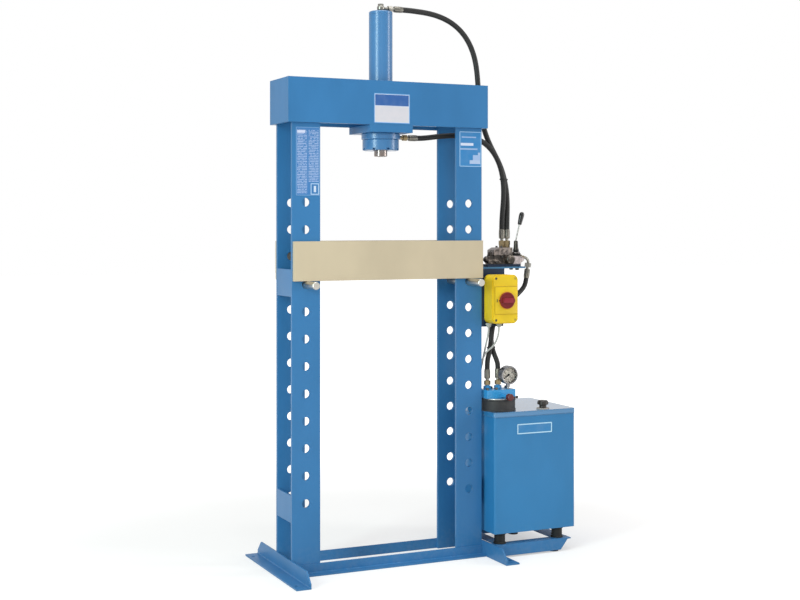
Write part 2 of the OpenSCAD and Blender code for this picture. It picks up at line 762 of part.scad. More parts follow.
// Lever: ball in the spool's slot, cross pin, rubber sleeve and leaning rod
module valve_lever() {
    sleeve_z = pivot_z + 12;
    color([0.45, 0.45, 0.45]) translate([lever_x, spool_y, 0]) {
        translate([0, 0, spool_z]) sphere(d = ball_d, $fn = 32);
        translate([0, 0, spool_z]) cylinder(d = neck_d, h = lever_arm);
        translate([0, 4.5, pivot_z]) rotate([90, 0, 0]) cylinder(d = 12, h = 9);
        translate([0, 14.5, pivot_z]) rotate([90, 0, 0]) cylinder(d = 6, h = 29);
        translate([0, 0, pivot_z]) cylinder(d = 8, h = sleeve_z - pivot_z + 1);
        translate([0, 0, sleeve_z]) rotate_extrude() polygon([[0, 0], [11, 0], [12, 2], [9, 14],
            [8, lever_bend_z - sleeve_z - 2], [6, lever_bend_z - sleeve_z], [0, lever_bend_z - sleeve_z]]);
        translate([0, 0, lever_bend_z]) sphere(d = 7, $fn = 32);
        translate([0, 0, lever_bend_z]) rotate([0, lever_lean, 0]) cylinder(d = 6, h = lever_top - 20);
    }
}

module lever_knob() {
    color([0.08, 0.08, 0.08]) translate([lever_x, spool_y, lever_bend_z])
        rotate([0, lever_lean, 0]) translate([0, 0, lever_top - 53]) difference() {
            rotate_extrude() polygon([[0, 0], [6, 0], [8, 3], [10.5, 36], [9.5, 46], [6, 51],
                [0, 53]]);
            translate([0, 0, -1]) cylinder(d = 6 + 2 * fit, h = 34);
        }
}

// ---------- isolator ----------

module switch_bracket() {
    color([0.10, 0.24, 0.34])
        block([out_x, box_y, box_z - 14], [box_x + box_w - 28, box_y + switch_t, box_z + box_h - 20]);
}

// Box outline in the XZ plane, drawn towards the front
module box_outline(h, r, grow = 0) {
    rotate([90, 0, 0]) linear_extrude(h) round_rect(box_w + grow, box_h + grow, r);
}

module switch_base() {
    depth = box_d * 0.55;
    color([0.92, 0.80, 0.18]) translate([box_x + box_w / 2, box_y, box_z + box_h / 2]) difference() {
        box_outline(depth, 20);
        translate([0, -3, 0]) box_outline(depth, 17, -6);
        for (x = gland_x) translate([x - box_x - box_w / 2, gland_y - box_y, -box_h / 2 - 1])
            cylinder(d = 12, h = 6);
    }
}

module switch_cover() {
    y0 = -box_d * 0.55;
    drop = knob_z - box_z - box_h / 2;
    color([0.94, 0.83, 0.20]) translate([box_x + box_w / 2, box_y + y0, box_z + box_h / 2])
        difference() {
            union() {
                box_outline(box_d * 0.33, 20);
                translate([0, -box_d * 0.33, 0]) box_outline(box_d * 0.12, 16.5, -7);
                translate([knob_x - box_x - box_w / 2, -box_d * 0.45, drop]) rotate([90, 0, 0])
                    cylinder(d = knob_d + 7, h = 4);
            }
            translate([0, 1, 0]) box_outline(box_d * 0.33 - 2, 17, -6);
            translate([knob_x - box_x - box_w / 2, 0, drop]) rotate([90, 0, 0])
                cylinder(d = 10 + 2 * fit, h = box_d);
            for (x = [-1, 1], z = [-1, 1])
                translate([x * (box_w / 2 - 14), -box_d * 0.45 + 3, z * (box_h / 2 - 14)])
                    rotate([90, 0, 0]) cylinder(d = 10, h = 4);
        }
}

// Rotary knob: round disc, cross grip and spindle
module switch_knob() {
    front = box_y - box_d - 4;
    color([0.72, 0.10, 0.14]) translate([knob_x, front - 0.3, knob_z]) rotate([90, 0, 0]) {
        disc(knob_d, 9, 2);
        translate([0, 0, 9]) linear_extrude(9) round_rect(17, knob_d - 8, 6);
        translate([0, 0, -30]) cylinder(d = 10, h = 31);
    }
}

module cover_screws() {
    y = box_y - box_d + 3;
    color([0.20, 0.20, 0.18]) for (x = [14, box_w - 14], z = [14, box_h - 14])
        translate([box_x + x, y, box_z + z]) rotate([90, 0, 0]) difference() {
            cylinder(d = 9, h = 3);
            translate([-5, -0.6, 1.6]) cube([10, 1.2, 2]);
        }
}

// ---------- tank ----------

module tank_shelf() {
    color([0.25, 0.47, 0.68]) {
        for (f = [0, 1]) translate([shelf_x0, f == 0 ? shelf_y0 : shelf_y1, shelf_z])
            mirror([0, f, 0]) rail_bar(shelf_x1 - shelf_x0);
        for (x = mount_x) block([x - 22, shelf_y0 + rail_t, shelf_z - rail_t],
            [x == mount_x[0] ? x + 22 : shelf_x1 - 2, shelf_y1 - rail_t, shelf_z]);
        for (y = [shelf_y0 + 27, shelf_y1 - 27]) translate([shelf_x1 - 64, y, 0]) {
            cylinder(d = 10, h = shelf_z - rail_t);
            cylinder(d = 40, h = 8);
        }
    }
}

// Rail whose top flange ends square and whose upright leg ends on a slant
module rail_bar(length) {
    block([0, 0, -rail_t], [length, rail_leg, 0]);
    translate([0, rail_t, 0]) rotate([90, 0, 0]) linear_extrude(rail_t)
        polygon([[0, 0], [length - 12, 0], [length - 46, -rail_leg], [5, -rail_leg],
            [0, 5 - rail_leg]]);
}

module tank_mounts() {
    color([0.10, 0.10, 0.10]) for (x = mount_x, y = mount_y) translate([x, y, shelf_z])
        rotate_extrude() polygon([[0, 0], [mount_r, 0], [mount_r, 3], [mount_r - 4, 7],
            [mount_r - 4, mount_h - 7], [mount_r, mount_h - 3], [mount_r, mount_h], [0, mount_h]]);
}

module tank_shell() {
    x = (tank_x0 + tank_x1) / 2;
    y = (tank_y0 + tank_y1) / 2;
    color([0.28, 0.52, 0.72]) translate([x, y, tank_z]) difference() {
        round_box(tank_w, tank_d, tank_h, 8);
        translate([0, 0, tank_wall]) round_box(tank_w - 2 * tank_wall, tank_d - 2 * tank_wall,
            tank_h, 8 - tank_wall);
    }
}

module tank_lid() {
    x = (tank_x0 + tank_x1) / 2;
    y = (tank_y0 + tank_y1) / 2;
    w = tank_w + 2 * lid_gap;
    d = tank_d + 2 * lid_gap;
    color([0.52, 0.66, 0.78]) difference() {
        translate([x, y, tank_top - lid_rim]) round_box(w + 3, d + 3, lid_rim + lid_t, 9.9);
        translate([x, y, tank_top - lid_rim - 1]) round_box(w, d, lid_rim + 1, 8.4);
        translate([motor_x, motor_y, tank_top - 1]) cylinder(r = stator_r + 1, h = 8);
        translate([filler_x, filler_y, tank_top - 1]) cylinder(d = 24, h = 8);
    }
}

// ---------- pump unit ----------

module motor_flange() {
    color([0.16, 0.17, 0.18]) translate([motor_x, motor_y, lid_top]) difference() {
        rotate_extrude($fn = 72) polygon([[0, 0], [motor_r, 0], [motor_r, 6], [motor_r - 2, 8],
            [motor_r - 2, motor_h - 6], [motor_r, motor_h - 4], [motor_r, motor_h], [0, motor_h]]);
        translate([0, 0, -1]) cylinder(r = stator_r - 8, h = motor_h - 17);
        translate([0, 0, -1]) cylinder(d = 16 + 2 * fit, h = motor_h - 5);
    }
}

module manifold_plate() {
    color([0.82, 0.82, 0.82]) translate([motor_x, motor_y, motor_top])
        cylinder(r = motor_r - 8, h = plate2_h, $fn = 72);
}

module manifold() {
    color([0.20, 0.52, 0.78]) difference() {
        block([manifold_x[0], manifold_y[0], manifold_z],
            [manifold_x[1], manifold_y[1], manifold_top]);
        for (x = supply_x) translate([x, supply_y, manifold_top - 16]) cylinder(d = 9, h = 17);
        translate([manifold_x[1] + 1, motor_y + 14, manifold_z + manifold_h / 2])
            rotate([0, -90, 0]) cylinder(d = 12, h = 9);
    }
}

// Blue adaptors of the two supply hoses and the body of the relief valve
module manifold_fittings() {
    color([0.12, 0.47, 0.76]) {
        for (x = supply_x) translate([x, supply_y, manifold_top]) {
            hex(26, adaptor_h - 4);
            translate([0, 0, adaptor_h - 4]) cylinder(d = 17, h = 4);
        }
        translate([relief_x, manifold_y[0], relief_z]) rotate([90, 0, 0]) {
            hex(14, 12);
            cylinder(d = 12, h = manifold_y[0] - relief_y - 0.3);
            cylinder(d = 6, h = manifold_y[0] - relief_y + 9);
        }
    }
}

module gauge_case() {
    wall = 2;
    color([0.30, 0.31, 0.32]) {
        translate([gauge_x, gauge_y, gauge_z]) rotate([90, 0, 0]) difference() {
            translate([0, 0, -gauge_depth / 2]) bush(gauge_d, 0, gauge_depth, 1.5);
            translate([0, 0, -gauge_depth / 2 + 14])
                cylinder(d = gauge_d - 2 * wall - 4, h = gauge_depth);
            translate([0, 0, -gauge_depth / 2 + 6]) cylinder(d = 3, h = gauge_depth);
        }
        translate([gauge_x, gauge_y, manifold_top]) cylinder(d = 9, h = 9);
        translate([gauge_x, gauge_y, manifold_top + 9]) hex(14, gauge_stem_h - 9 + 2);
    }
}

module gauge_dial() {
    color([0.86, 0.84, 0.78])
        translate([gauge_x, gauge_y + gauge_depth / 2 - 14, gauge_z]) rotate([90, 0, 0])
            difference() {
                cylinder(d = gauge_d - 9, h = 1.5);
                translate([0, 0, -1]) cylinder(d = 3, h = 4);
            }
}

// Pointer at rest on zero, 36 degrees below level on the left
module gauge_pointer() {
    y = gauge_y + gauge_depth / 2 - 14 - 1.5 - 0.8;
    reach = gauge_d / 2 - 10;
    color([0.08, 0.08, 0.08]) translate([gauge_x, y, gauge_z]) rotate([90, 0, 0]) {
        cylinder(d = 7, h = 2);
        translate([0, 0, -8]) cylinder(d = 3 - 2 * fit, h = 9);
        rotate(216) linear_extrude(1.2) polygon([[-5, -2], [-5, 2], [10, 1.8], [reach, 0.6],
            [reach, -0.6], [10, -1.8]]);
    }
}

module gauge_glass() {
    color([0.8, 0.9, 0.95, 0.35])
        translate([gauge_x, gauge_y - gauge_depth / 2 + 4, gauge_z]) rotate([90, 0, 0])
            cylinder(d = gauge_d - 8.6, h = 2.5);
}

// Adjusting knob of the relief valve with its locking lever
module relief_knob() {
    color([0.70, 0.16, 0.14]) translate([relief_x, relief_y, relief_z]) rotate([90, 0, 0]) {
        difference() {
            disc(27, 20, 3);
            for (k = [0 : 11]) rotate(30 * k) translate([14, 0, 4]) cylinder(d = 3, h = 30, $fn = 16);
            translate([0, 0, -1]) cylinder(d = 6 + 2 * fit, h = 11);
        }
        translate([6, 0, 12]) rotate([0, 90, 0]) cylinder(d = 5, h = 21);
        translate([29, 0, 12]) sphere(d = 11, $fn = 32);
    }
}

module filler_neck() {
    color([0.75, 0.75, 0.73]) translate([filler_x, filler_y, 0]) difference() {
        union() {
            translate([0, 0, lid_top]) cylinder(d = 50, h = 4);
            translate([0, 0, lid_top - 30]) cylinder(d = 23.4, h = 46);
        }
        translate([0, 0, lid_top - 31]) cylinder(d = 18, h = 60);
    }
}

module filler_cap() {
    color([0.10, 0.10, 0.10]) translate([filler_x, filler_y, lid_top + 4.3]) difference() {
        union() {
            translate([0, 0, 13]) disc(40, 16, 3);
            for (k = [0 : 11]) rotate(30 * k) translate([19.6, 0, 14]) cylinder(d = 4, h = 10, $fn = 16);
            rotate_extrude() polygon([[0, 0], [14, 0], [14, 10], [17, 13.5], [0, 13.5]]);
        }
        translate([0, 0, -1]) cylinder(d = 24.4, h = 15);
    }
}

// ---------- inside the tank ----------

module motor_stator() {
    color([0.30, 0.32, 0.34]) translate([motor_x, motor_y, lid_top - stator_h]) difference() {
        union() {
            cylinder(r = stator_r, h = stator_h, $fn = 64);
            for (k = [0 : 17]) rotate(20 * k) translate([stator_r - 1, -1.2, 20])
                cube([5, 2.4, stator_h - 46]);
        }
        translate([0, 0, 12]) cylinder(r = 38, h = stator_h - 20, $fn = 64);
        translate([0, 0, -1]) cylinder(d = 16 + 2 * fit, h = 20);
        translate([0, 0, stator_h - 20]) cylinder(r = 38, h = 30, $fn = 64);
    }
}

module motor_rotor() {
    color([0.66, 0.66, 0.68]) translate([motor_x, motor_y, lid_top - stator_h]) {
        translate([0, 0, -24]) cylinder(d = 16, h = stator_h + motor_h + 18);
        translate([0, 0, 24]) cylinder(r = 36, h = stator_h - 60, $fn = 64);
    }
}

// Gear pump hung under the motor, with its suction strainer
module oil_pump() {
    top = lid_top - stator_h;
    color([0.50, 0.52, 0.54]) translate([motor_x, motor_y, top - pump_h]) difference() {
        union() {
            translate([0, 0, pump_h - 14]) cylinder(r = 48, h = 14, $fn = 64);
            round_box(80, 90, pump_h - 14, 20);
            translate([0, 0, -70]) cylinder(d = 26, h = 71);
            translate([0, 0, -100]) bush(64, 0, 40, 4);
        }
        translate([0, 0, pump_h - 26]) cylinder(d = 16 + 2 * fit, h = 40);
    }
}

upright_left();
upright_right();
upright_spacers();
beam_plates();
beam_ends();
cylinder_plate();
feet();
sills();
bed_pins();
bed_plates();
bed_spacers();
cylinder_barrel();
cylinder_cap();
flange_ring();
gland_nut();
rod_wiper();
ram_rod();
ram_piston();
piston_seals();
hose_ends();
pipe_fittings();
hose_top();
hose_head();
hose_pressure();
hose_return();
hose_ties();
cable_left();
cable_right();
cable_glands();
valve_bracket();
valve_body();
valve_spring_cap();
lever_housing();
valve_spool();
valve_boot();
valve_lever();
lever_knob();
switch_bracket();
switch_base();
switch_cover();
switch_knob();
cover_screws();
tank_shelf();
tank_mounts();
tank_shell();
tank_lid();
motor_flange();
manifold_plate();
manifold();
manifold_fittings();
gauge_case();
gauge_dial();
gauge_pointer();
gauge_glass();
relief_knob();
filler_neck();
filler_cap();
motor_stator();
motor_rotor();
oil_pump();
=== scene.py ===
"""Looks of an electro-hydraulic workshop press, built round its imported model.

Most nodes of the frame keep their shape and only get their finish here. The hoses, the cables, the
lever's boot and the isolator's knob are modelled anew in place of their nodes. Plates, crimp sleeves,
screws and the small parts of the gauge and the isolator are added to the rest.
"""

from __future__ import annotations

import logging
import math
from collections.abc import Callable, Sequence
from dataclasses import dataclass
from enum import Enum
from functools import cached_property, reduce

import bmesh
import bpy
from mathutils import Matrix, Vector

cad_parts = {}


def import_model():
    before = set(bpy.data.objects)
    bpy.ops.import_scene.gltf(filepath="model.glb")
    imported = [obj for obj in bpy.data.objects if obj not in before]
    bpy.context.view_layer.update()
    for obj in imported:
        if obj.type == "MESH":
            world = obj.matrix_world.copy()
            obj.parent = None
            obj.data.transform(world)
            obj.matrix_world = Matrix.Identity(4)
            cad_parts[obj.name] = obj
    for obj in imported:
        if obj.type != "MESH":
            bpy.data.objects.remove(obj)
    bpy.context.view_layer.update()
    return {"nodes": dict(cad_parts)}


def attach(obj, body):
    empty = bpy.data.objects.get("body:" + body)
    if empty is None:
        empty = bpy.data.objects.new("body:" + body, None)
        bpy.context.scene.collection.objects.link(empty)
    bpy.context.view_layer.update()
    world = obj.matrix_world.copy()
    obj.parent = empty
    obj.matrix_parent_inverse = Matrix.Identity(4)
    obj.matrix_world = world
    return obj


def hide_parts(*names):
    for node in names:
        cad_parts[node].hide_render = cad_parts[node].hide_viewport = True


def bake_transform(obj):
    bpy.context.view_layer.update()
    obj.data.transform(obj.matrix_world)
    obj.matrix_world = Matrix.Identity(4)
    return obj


LOG = logging.getLogger("press")
Point = tuple[float, float, float]
Pair = tuple[float, float]
Colour = tuple[float, float, float]
Zone = tuple[Point, Point]
Circle = tuple[float, float, float]
Test = Callable[[Vector, Vector], bool]

PER_METRE = 1000.0  # millimetres in a metre
FAR = 3000.0  # millimetres, beyond every side of the press
ALONG = 0.9  # cosine above which a direction counts as lying along an axis
WHITE: Colour = (1.0, 1.0, 1.0)
DUST: Colour = (0.42, 0.41, 0.39)
BLUE: Colour = (0.036, 0.175, 0.392)


# ---------------------------------------------------------------- shaders


class Wire:
    """A shader output that takes part in Python arithmetic."""

    def __init__(self, graph: Graph, out: bpy.types.NodeSocket | None) -> None:
        """Keeps the output and the graph that it belongs to."""
        self.graph = graph
        self.out = out

    def maths(self, operation: str, *others: Wire | float) -> Wire:
        """Adds a Math node.

        Args:
            operation: The node's operation, such as "MULTIPLY".
            others: The further operands.

        Returns:
            The node's result.
        """
        return self.graph.node("ShaderNodeMath", dict(enumerate((self, *others))), operation=operation)

    def __add__(self, other: Wire | float) -> Wire:
        """Sum."""
        return self.maths("ADD", other)

    def __sub__(self, other: Wire | float) -> Wire:
        """Difference."""
        return self.maths("SUBTRACT", other)

    def __rsub__(self, other: float) -> Wire:
        """Difference from a number."""
        return self.graph.node("ShaderNodeMath", {0: other, 1: self}, operation="SUBTRACT")

    def __mul__(self, other: Wire | float) -> Wire:
        """Product."""
        return self.maths("MULTIPLY", other)

    __rmul__ = __mul__

    def squared(self) -> Wire:
        """Square."""
        return self.maths("POWER", 2.0)

    def above(self, level: float) -> Wire:
        """1 where the value is over the level."""
        return self.maths("GREATER_THAN", level)

    def below(self, level: float) -> Wire:
        """1 where the value is under the level."""
        return self.maths("LESS_THAN", level)

    def band(self, low: float, high: float) -> Wire:
        """1 between two levels."""
        return self.above(low) * self.below(high)

    def ramp(self, low: float, high: float) -> Wire:
        """Runs smoothly from 0 at the low level to 1 at the high one."""
        return self.graph.node("ShaderNodeMapRange", {0: self, 1: low, 2: high},
                               interpolation_type="SMOOTHSTEP")

    def around(self, mean: float, spread: float) -> Wire:
        """Brings a value of 0 to 1 to the stated spread, with its middle at the mean."""
        return self * spread + (mean - spread / 2.0)


def largest(wires: Sequence[Wire]) -> Wire:
    """The largest of some values."""
    return reduce(lambda first, second: first.maths("MAXIMUM", second), wires)


def shade(colour: Colour, factor: float, lift: float = 0.0) -> Colour:
    """A colour made darker or paler by a factor, and lifted a little towards grey."""
    return tuple(min(1.0, part * factor + lift) for part in colour)


def pane(left: float, low: float, right: float, high: float) -> Zone:
    """The zone between two X and two Z in millimetres, at every depth."""
    return (left, -FAR, low), (right, FAR, high)


@dataclass(frozen=True)
class Patch:
    """A second colour inside some zones, and inside a circle of stated X, Z and radius. Millimetres."""

    colour: Colour
    zones: tuple[Zone, ...]
    circle: Circle | None = None


class Graph:
    """The node tree of a material or a world."""

    RGBA_A, RGBA_B, RGBA_RESULT = 6, 7, 2  # the Mix node's colour sockets
    BEVEL_SAMPLES = 4

    def __init__(self, name: str, library: str = "materials") -> None:
        """Starts an empty tree.

        Args:
            name: The name of the tree's new owner.
            library: What the owner is: one of "materials" or "worlds".
        """
        self.owner = getattr(bpy.data, library).new(name)
        self.owner.use_nodes = True
        self.tree = self.owner.node_tree
        self.tree.nodes.clear()

    def node(self, kind: str, sockets: dict[int | str, object], out: int | str = 0,
             **settings: object) -> Wire:
        """Adds one node.

        Args:
            kind: The node's type.
            sockets: Values or wires of its inputs, by index or name.
            out: Which output is wanted.
            settings: The node's own properties, which are set first.

        Returns:
            The wanted output.
        """
        made = self.tree.nodes.new(kind)
        for key, value in settings.items():
            setattr(made, key, value)
        for key, value in sockets.items():
            if isinstance(value, Wire):
                self.tree.links.new(value.out, made.inputs[key])
            else:
                made.inputs[key].default_value = value
        return Wire(self, made.outputs[out] if made.outputs else None)

    @cached_property
    def place(self) -> Wire:
        """Object coordinates, in metres in the press's frame."""
        return self.node("ShaderNodeTexCoord", {}, "Object")

    @cached_property
    def split(self) -> Wire:
        """The node that takes the object coordinates apart."""
        return self.node("ShaderNodeSeparateXYZ", {0: self.place})

    def axis(self, index: int) -> Wire:
        """One of the object coordinates: 0, 1 or 2."""
        return Wire(self, self.split.out.node.outputs[index])

    def rays(self, *kinds: str) -> Wire:
        """1 for rays of the stated kinds, such as "Camera", and 0 for others."""
        return largest([self.node("ShaderNodeLightPath", {}, f"Is {kind} Ray") for kind in kinds])

    def noise(self, scale: float, detail: float = 2.0, stretch: Point = (1.0, 1.0, 1.0),
              rough: float = 0.5) -> Wire:
        """Noise on object coordinates.

        Args:
            scale: Cells a metre.
            detail: Octaves.
            stretch: Factors on the three axes.
            rough: Weight of the finer octaves.

        Returns:
            A value round 0.5.
        """
        place = self.place
        if stretch != (1.0, 1.0, 1.0):
            place = self.node("ShaderNodeMapping", {"Vector": place, "Scale": stretch})
        return self.node("ShaderNodeTexNoise", {"Vector": place, "Scale": scale, "Detail": detail,
                                                "Roughness": rough}, "Fac")

    def mix(self, factor: Wire | float, first: Colour | Wire, second: Colour | Wire) -> Wire:
        """Mixes two colours.

        Args:
            factor: 0 gives the first, 1 the second.
            first: A colour or a wire.
            second: A colour or a wire.

        Returns:
            The mixed colour.
        """
        one, two = (c if isinstance(c, Wire) else (*c, 1.0) for c in (first, second))
        return self.node("ShaderNodeMix", {0: factor, self.RGBA_A: one, self.RGBA_B: two},
                         self.RGBA_RESULT, data_type="RGBA")

    def soft_edge(self, radius: float) -> Wire:
        """A normal that rounds sharp edges off over a radius in metres."""
        return self.node("ShaderNodeBevel", {"Radius": radius}, samples=self.BEVEL_SAMPLES)

    def bump(self, height: Wire, depth: float, under: Wire | None = None) -> Wire:
        """A bumped normal.

        Args:
            height: The height map.
            depth: Height in metres that a value of 1 stands for.
            under: The normal that the bump lies on.

        Returns:
            The normal.
        """
        lie = {"Normal": under} if under else {}
        return self.node("ShaderNodeBump", {"Height": height, "Distance": depth, **lie}, "Normal")

    def inside(self, zones: Sequence[Zone]) -> Wire:
        """1 inside any of some zones, 0 outside.

        Args:
            zones: Lowest and highest corners in millimetres.

        Returns:
            The mask.
        """
        boxes = []
        for low, high in zones:
            x, y, z = (self.axis(i).band(low[i] / PER_METRE, high[i] / PER_METRE) for i in range(3))
            boxes.append(x * y * z)
        return largest(boxes)

    def patched(self, base: Colour | Wire, patch: Patch | None) -> Colour | Wire:
        """A base colour with a patch on it, where there is one.

        Args:
            base: The base colour.
            patch: The second colour and where it lies.

        Returns:
            The patched colour.
        """
        if patch is None:
            return base
        where = self.inside(patch.zones)
        if patch.circle:
            across, up, radius = (n / PER_METRE for n in patch.circle)
            off = (self.axis(0) - across).squared() + (self.axis(2) - up).squared()
            where = where * off.below(radius * radius)
        return self.mix(where, base, patch.colour)

    def surface(self, **sockets: object) -> bpy.types.Material:
        """Ends the graph in a Principled shader.

        Args:
            sockets: Its inputs, with underscores for spaces.

        Returns:
            The finished material.
        """
        named = {key.replace("_", " "): value for key, value in sockets.items()}
        shader = self.node("ShaderNodeBsdfPrincipled", named)
        self.node("ShaderNodeOutputMaterial", {0: shader})
        return self.owner


@dataclass(frozen=True)
class Enamel:
    """Sprayed gloss paint on plate: faint orange peel, uneven film, softened edges and dust low down."""

    name: str
    colour: Colour
    roughness: float = 0.3
    uneven: float = 0.12
    coat: float = 0.35
    rough_coat: float = 0.1
    specular: float = 0.5
    peel: float = 0.00005
    edge: float = 0.002
    dusty: float = 0.07
    dust_top: float = 0.16
    patch: Patch | None = None

    def build(self) -> bpy.types.Material:
        """Builds the material."""
        g = Graph(self.name)
        film = g.noise(5.0, detail=3.0, stretch=(1.0, 1.0, 0.5)).ramp(0.3, 0.7)
        speck = g.noise(420.0, detail=1.0).ramp(0.68, 0.74)
        low_down = 1.0 - g.axis(2).ramp(0.0, self.dust_top)
        dust = low_down * g.noise(60.0, detail=4.0).ramp(0.35, 0.75) * self.dusty
        paint = g.mix(film, shade(self.colour, 0.93), shade(self.colour, 1.05, lift=0.002))
        paint = g.patched(g.mix(speck * 0.12, paint, shade(self.colour, 0.7)), self.patch)
        peel = g.noise(330.0) + g.noise(90.0) * 1.5
        return g.surface(Base_Color=g.mix(dust, paint, DUST),
                         Roughness=g.noise(18.0, detail=3.0).around(self.roughness, self.uneven) + dust,
                         Coat_Weight=self.coat, Coat_Roughness=self.rough_coat,
                         Specular_IOR_Level=self.specular,
                         Normal=g.bump(peel, self.peel, under=g.soft_edge(self.edge)))


@dataclass(frozen=True)
class Steel:
    """Bare or plated steel with drawn-out tool marks along one axis, stained in places."""

    name: str
    colour: Colour
    roughness: float = 0.3
    uneven: float = 0.18
    marks: Point = (1.0, 1.0, 1.0)
    depth: float = 0.00004
    edge: float = 0.0006
    stain: Colour = (0.32, 0.26, 0.18)
    stained: float = 0.25
    metallic: float = 1.0
    patch: Patch | None = None

    def build(self) -> bpy.types.Material:
        """Builds the material."""
        g = Graph(self.name)
        grain = g.noise(500.0, detail=3.0, stretch=self.marks)
        stains = g.noise(55.0, detail=4.0).ramp(0.45, 0.75)
        metal = g.mix(stains * self.stained, g.patched(self.colour, self.patch), self.stain)
        return g.surface(Base_Color=g.mix(grain * 0.35, metal, shade(self.colour, 0.5)),
                         Metallic=self.metallic,
                         Roughness=grain.around(self.roughness, self.uneven) + stains * 0.1,
                         Normal=g.bump(grain, self.depth, under=g.soft_edge(self.edge)))


@dataclass(frozen=True)
class Moulded:
    """Moulded plastic or rubber with a fine grain."""

    name: str
    colour: Colour
    roughness: float = 0.4
    uneven: float = 0.14
    specular: float = 0.5
    grain: float = 900.0
    depth: float = 0.00003
    edge: float = 0.0008
    patch: Patch | None = None

    def build(self) -> bpy.types.Material:
        """Builds the material."""
        g = Graph(self.name)
        cloud = g.noise(25.0, detail=3.0).ramp(0.3, 0.7)
        base = g.mix(cloud, self.colour, shade(self.colour, 0.9, lift=0.002))
        return g.surface(Base_Color=g.patched(base, self.patch),
                         Roughness=g.noise(40.0).around(self.roughness, self.uneven),
                         Specular_IOR_Level=self.specular,
                         Normal=g.bump(g.noise(self.grain), self.depth, under=g.soft_edge(self.edge)))


@dataclass(frozen=True)
class Casting:
    """Sand-cast metal with a rough skin and rubbed high spots."""

    name: str
    colour: Colour
    smoothest: float = 0.38
    uneven: float = 0.25
    metallic: float = 0.0
    rubbed: Colour = (0.30, 0.27, 0.23)
    amount: float = 0.5
    sand: float = 0.0002
    edge: float = 0.0012
    patch: Patch | None = None

    def build(self) -> bpy.types.Material:
        """Builds the material."""
        g = Graph(self.name)
        sand = g.noise(260.0, detail=4.0, rough=0.7)
        worn = g.noise(70.0, detail=3.0).ramp(0.48, 0.68) * self.amount
        pits = g.noise(48.0, detail=3.0).ramp(0.50, 0.62) * self.amount
        skin = g.mix(worn, g.patched(self.colour, self.patch), self.rubbed)
        return g.surface(Base_Color=g.mix(pits, skin, shade(self.colour, 0.5)),
                         Metallic=self.metallic, Roughness=sand * self.uneven + self.smoothest,
                         Normal=g.bump(sand, self.sand, under=g.soft_edge(self.edge)))


@dataclass(frozen=True)
class Printed:
    """A plate printed with plain blocks and, where stated, with ruled lines that break off unevenly."""

    name: str
    ground: Colour
    blocks: tuple[Patch, ...]
    ruled: tuple[Zone, ...] = ()
    ink: Colour = (0.36, 0.45, 0.68)
    pitch: float = 6.0
    faded: Colour = (0.3, 0.4, 0.55)
    fading: float = 0.12

    def build(self) -> bpy.types.Material:
        """Builds the material: the first block lies under the ruled lines, the others on them."""
        g = Graph(self.name)
        face = g.patched(self.ground, self.blocks[0])
        if self.ruled:
            wave = (g.axis(2) * (math.tau * PER_METRE / self.pitch)).maths("SINE")
            unbroken = g.noise(150.0, stretch=(1.0, 0.01, 1.1)).above(0.43)
            face = g.mix(g.inside(self.ruled) * wave.above(-0.1) * unbroken, face, self.ink)
        for block in self.blocks[1:]:
            face = g.patched(face, block)
        fade = g.noise(30.0, detail=3.0).ramp(0.3, 0.8) * self.fading
        return g.surface(Base_Color=g.mix(fade, face, self.faded),
                         Roughness=g.noise(60.0).around(0.375, 0.15),
                         Normal=g.bump(g.noise(400.0, detail=1.0), 0.00002))


@dataclass(frozen=True)
class Clear:
    """Clear glass, faintly smeared."""

    name: str
    colour: Colour = (0.97, 0.98, 0.98)
    index: float = 1.1

    def build(self) -> bpy.types.Material:
        """Builds the material."""
        g = Graph(self.name)
        return g.surface(Base_Color=(*self.colour, 1.0), Roughness=g.noise(30.0) * 0.05 + 0.02,
                         Transmission_Weight=1.0, IOR=self.index)


def block(colour: Colour, left: float, low: float, right: float, high: float) -> Patch:
    """One printed block, between two X and two Z in millimetres."""
    return Patch(colour, (pane(left, low, right, high),))


YELLOW_NUTS: tuple[Zone, ...] = (
    ((400, -90, 600), (500, -30, 672)), ((505, -30, 1186), (575, 30, 1215)), ((80, -30, 1590), (109, 30, 1630)),
    ((600, 0, 1130), (634, 30, 1160)), ((485, 60, 1092), (515, 90, 1150)),
)
# The brackets' front and right edges in a lighter blue: a painted highlight along their lit rim.
BRACKET_RIM_HIGHLIGHT: tuple[Zone, ...] = (
    ((390, -70, 1105.5), (601, -58, 1112.5)), ((598, -70, 1105.5), (601, 70, 1112.5)),
)
# Darker lines along the switch panel's top, bottom and left edges: painted shade at its step.
PANEL_RIM_SHADE = pane(400, 1037.5, FAR, 1045), pane(400, 930, FAR, 934.4), pane(400, 930, 410.6, 1045)
LEVER_ROOT: Zone = ((540, -60, 1160), (640, 40, 1214.2))
BOX_FRONT: Zone = ((400, -FAR, 900), (520, -156, 1080))
# The knob grip's forward face in a lighter red: a painted highlight.
GRIP_FRONT_HIGHLIGHT: Zone = ((440, -FAR, 950), (480, -168, 1030))
KNOB_SURROUND: Circle = (460.5, 986.0, 36.5)
BEAM_PRINT = (
    block((0.60, 0.66, 0.80), -69, 1659, 73, 1765), block((0.02, 0.10, 0.33), -67, 1722, 71, 1763),
    block((0.66, 0.62, 0.66), -67, 1661, 71, 1720),
)
LEFT_PRINT = (
    block((0.045, 0.19, 0.46), -373.6, 1385.4, -284.4, 1631.6),
    block((0.46, 0.60, 0.78), -318, 1387, -286, 1428), block((0.03, 0.17, 0.42), -315, 1390, -289, 1425),
    block((0.62, 0.68, 0.80), -306, 1396, -297, 1419), block((0.66, 0.68, 0.86), -371, 1612, -340, 1622),
)
LEFT_LINES = pane(-371, 1390, -332, 1626), pane(-326, 1434, -287, 1626)
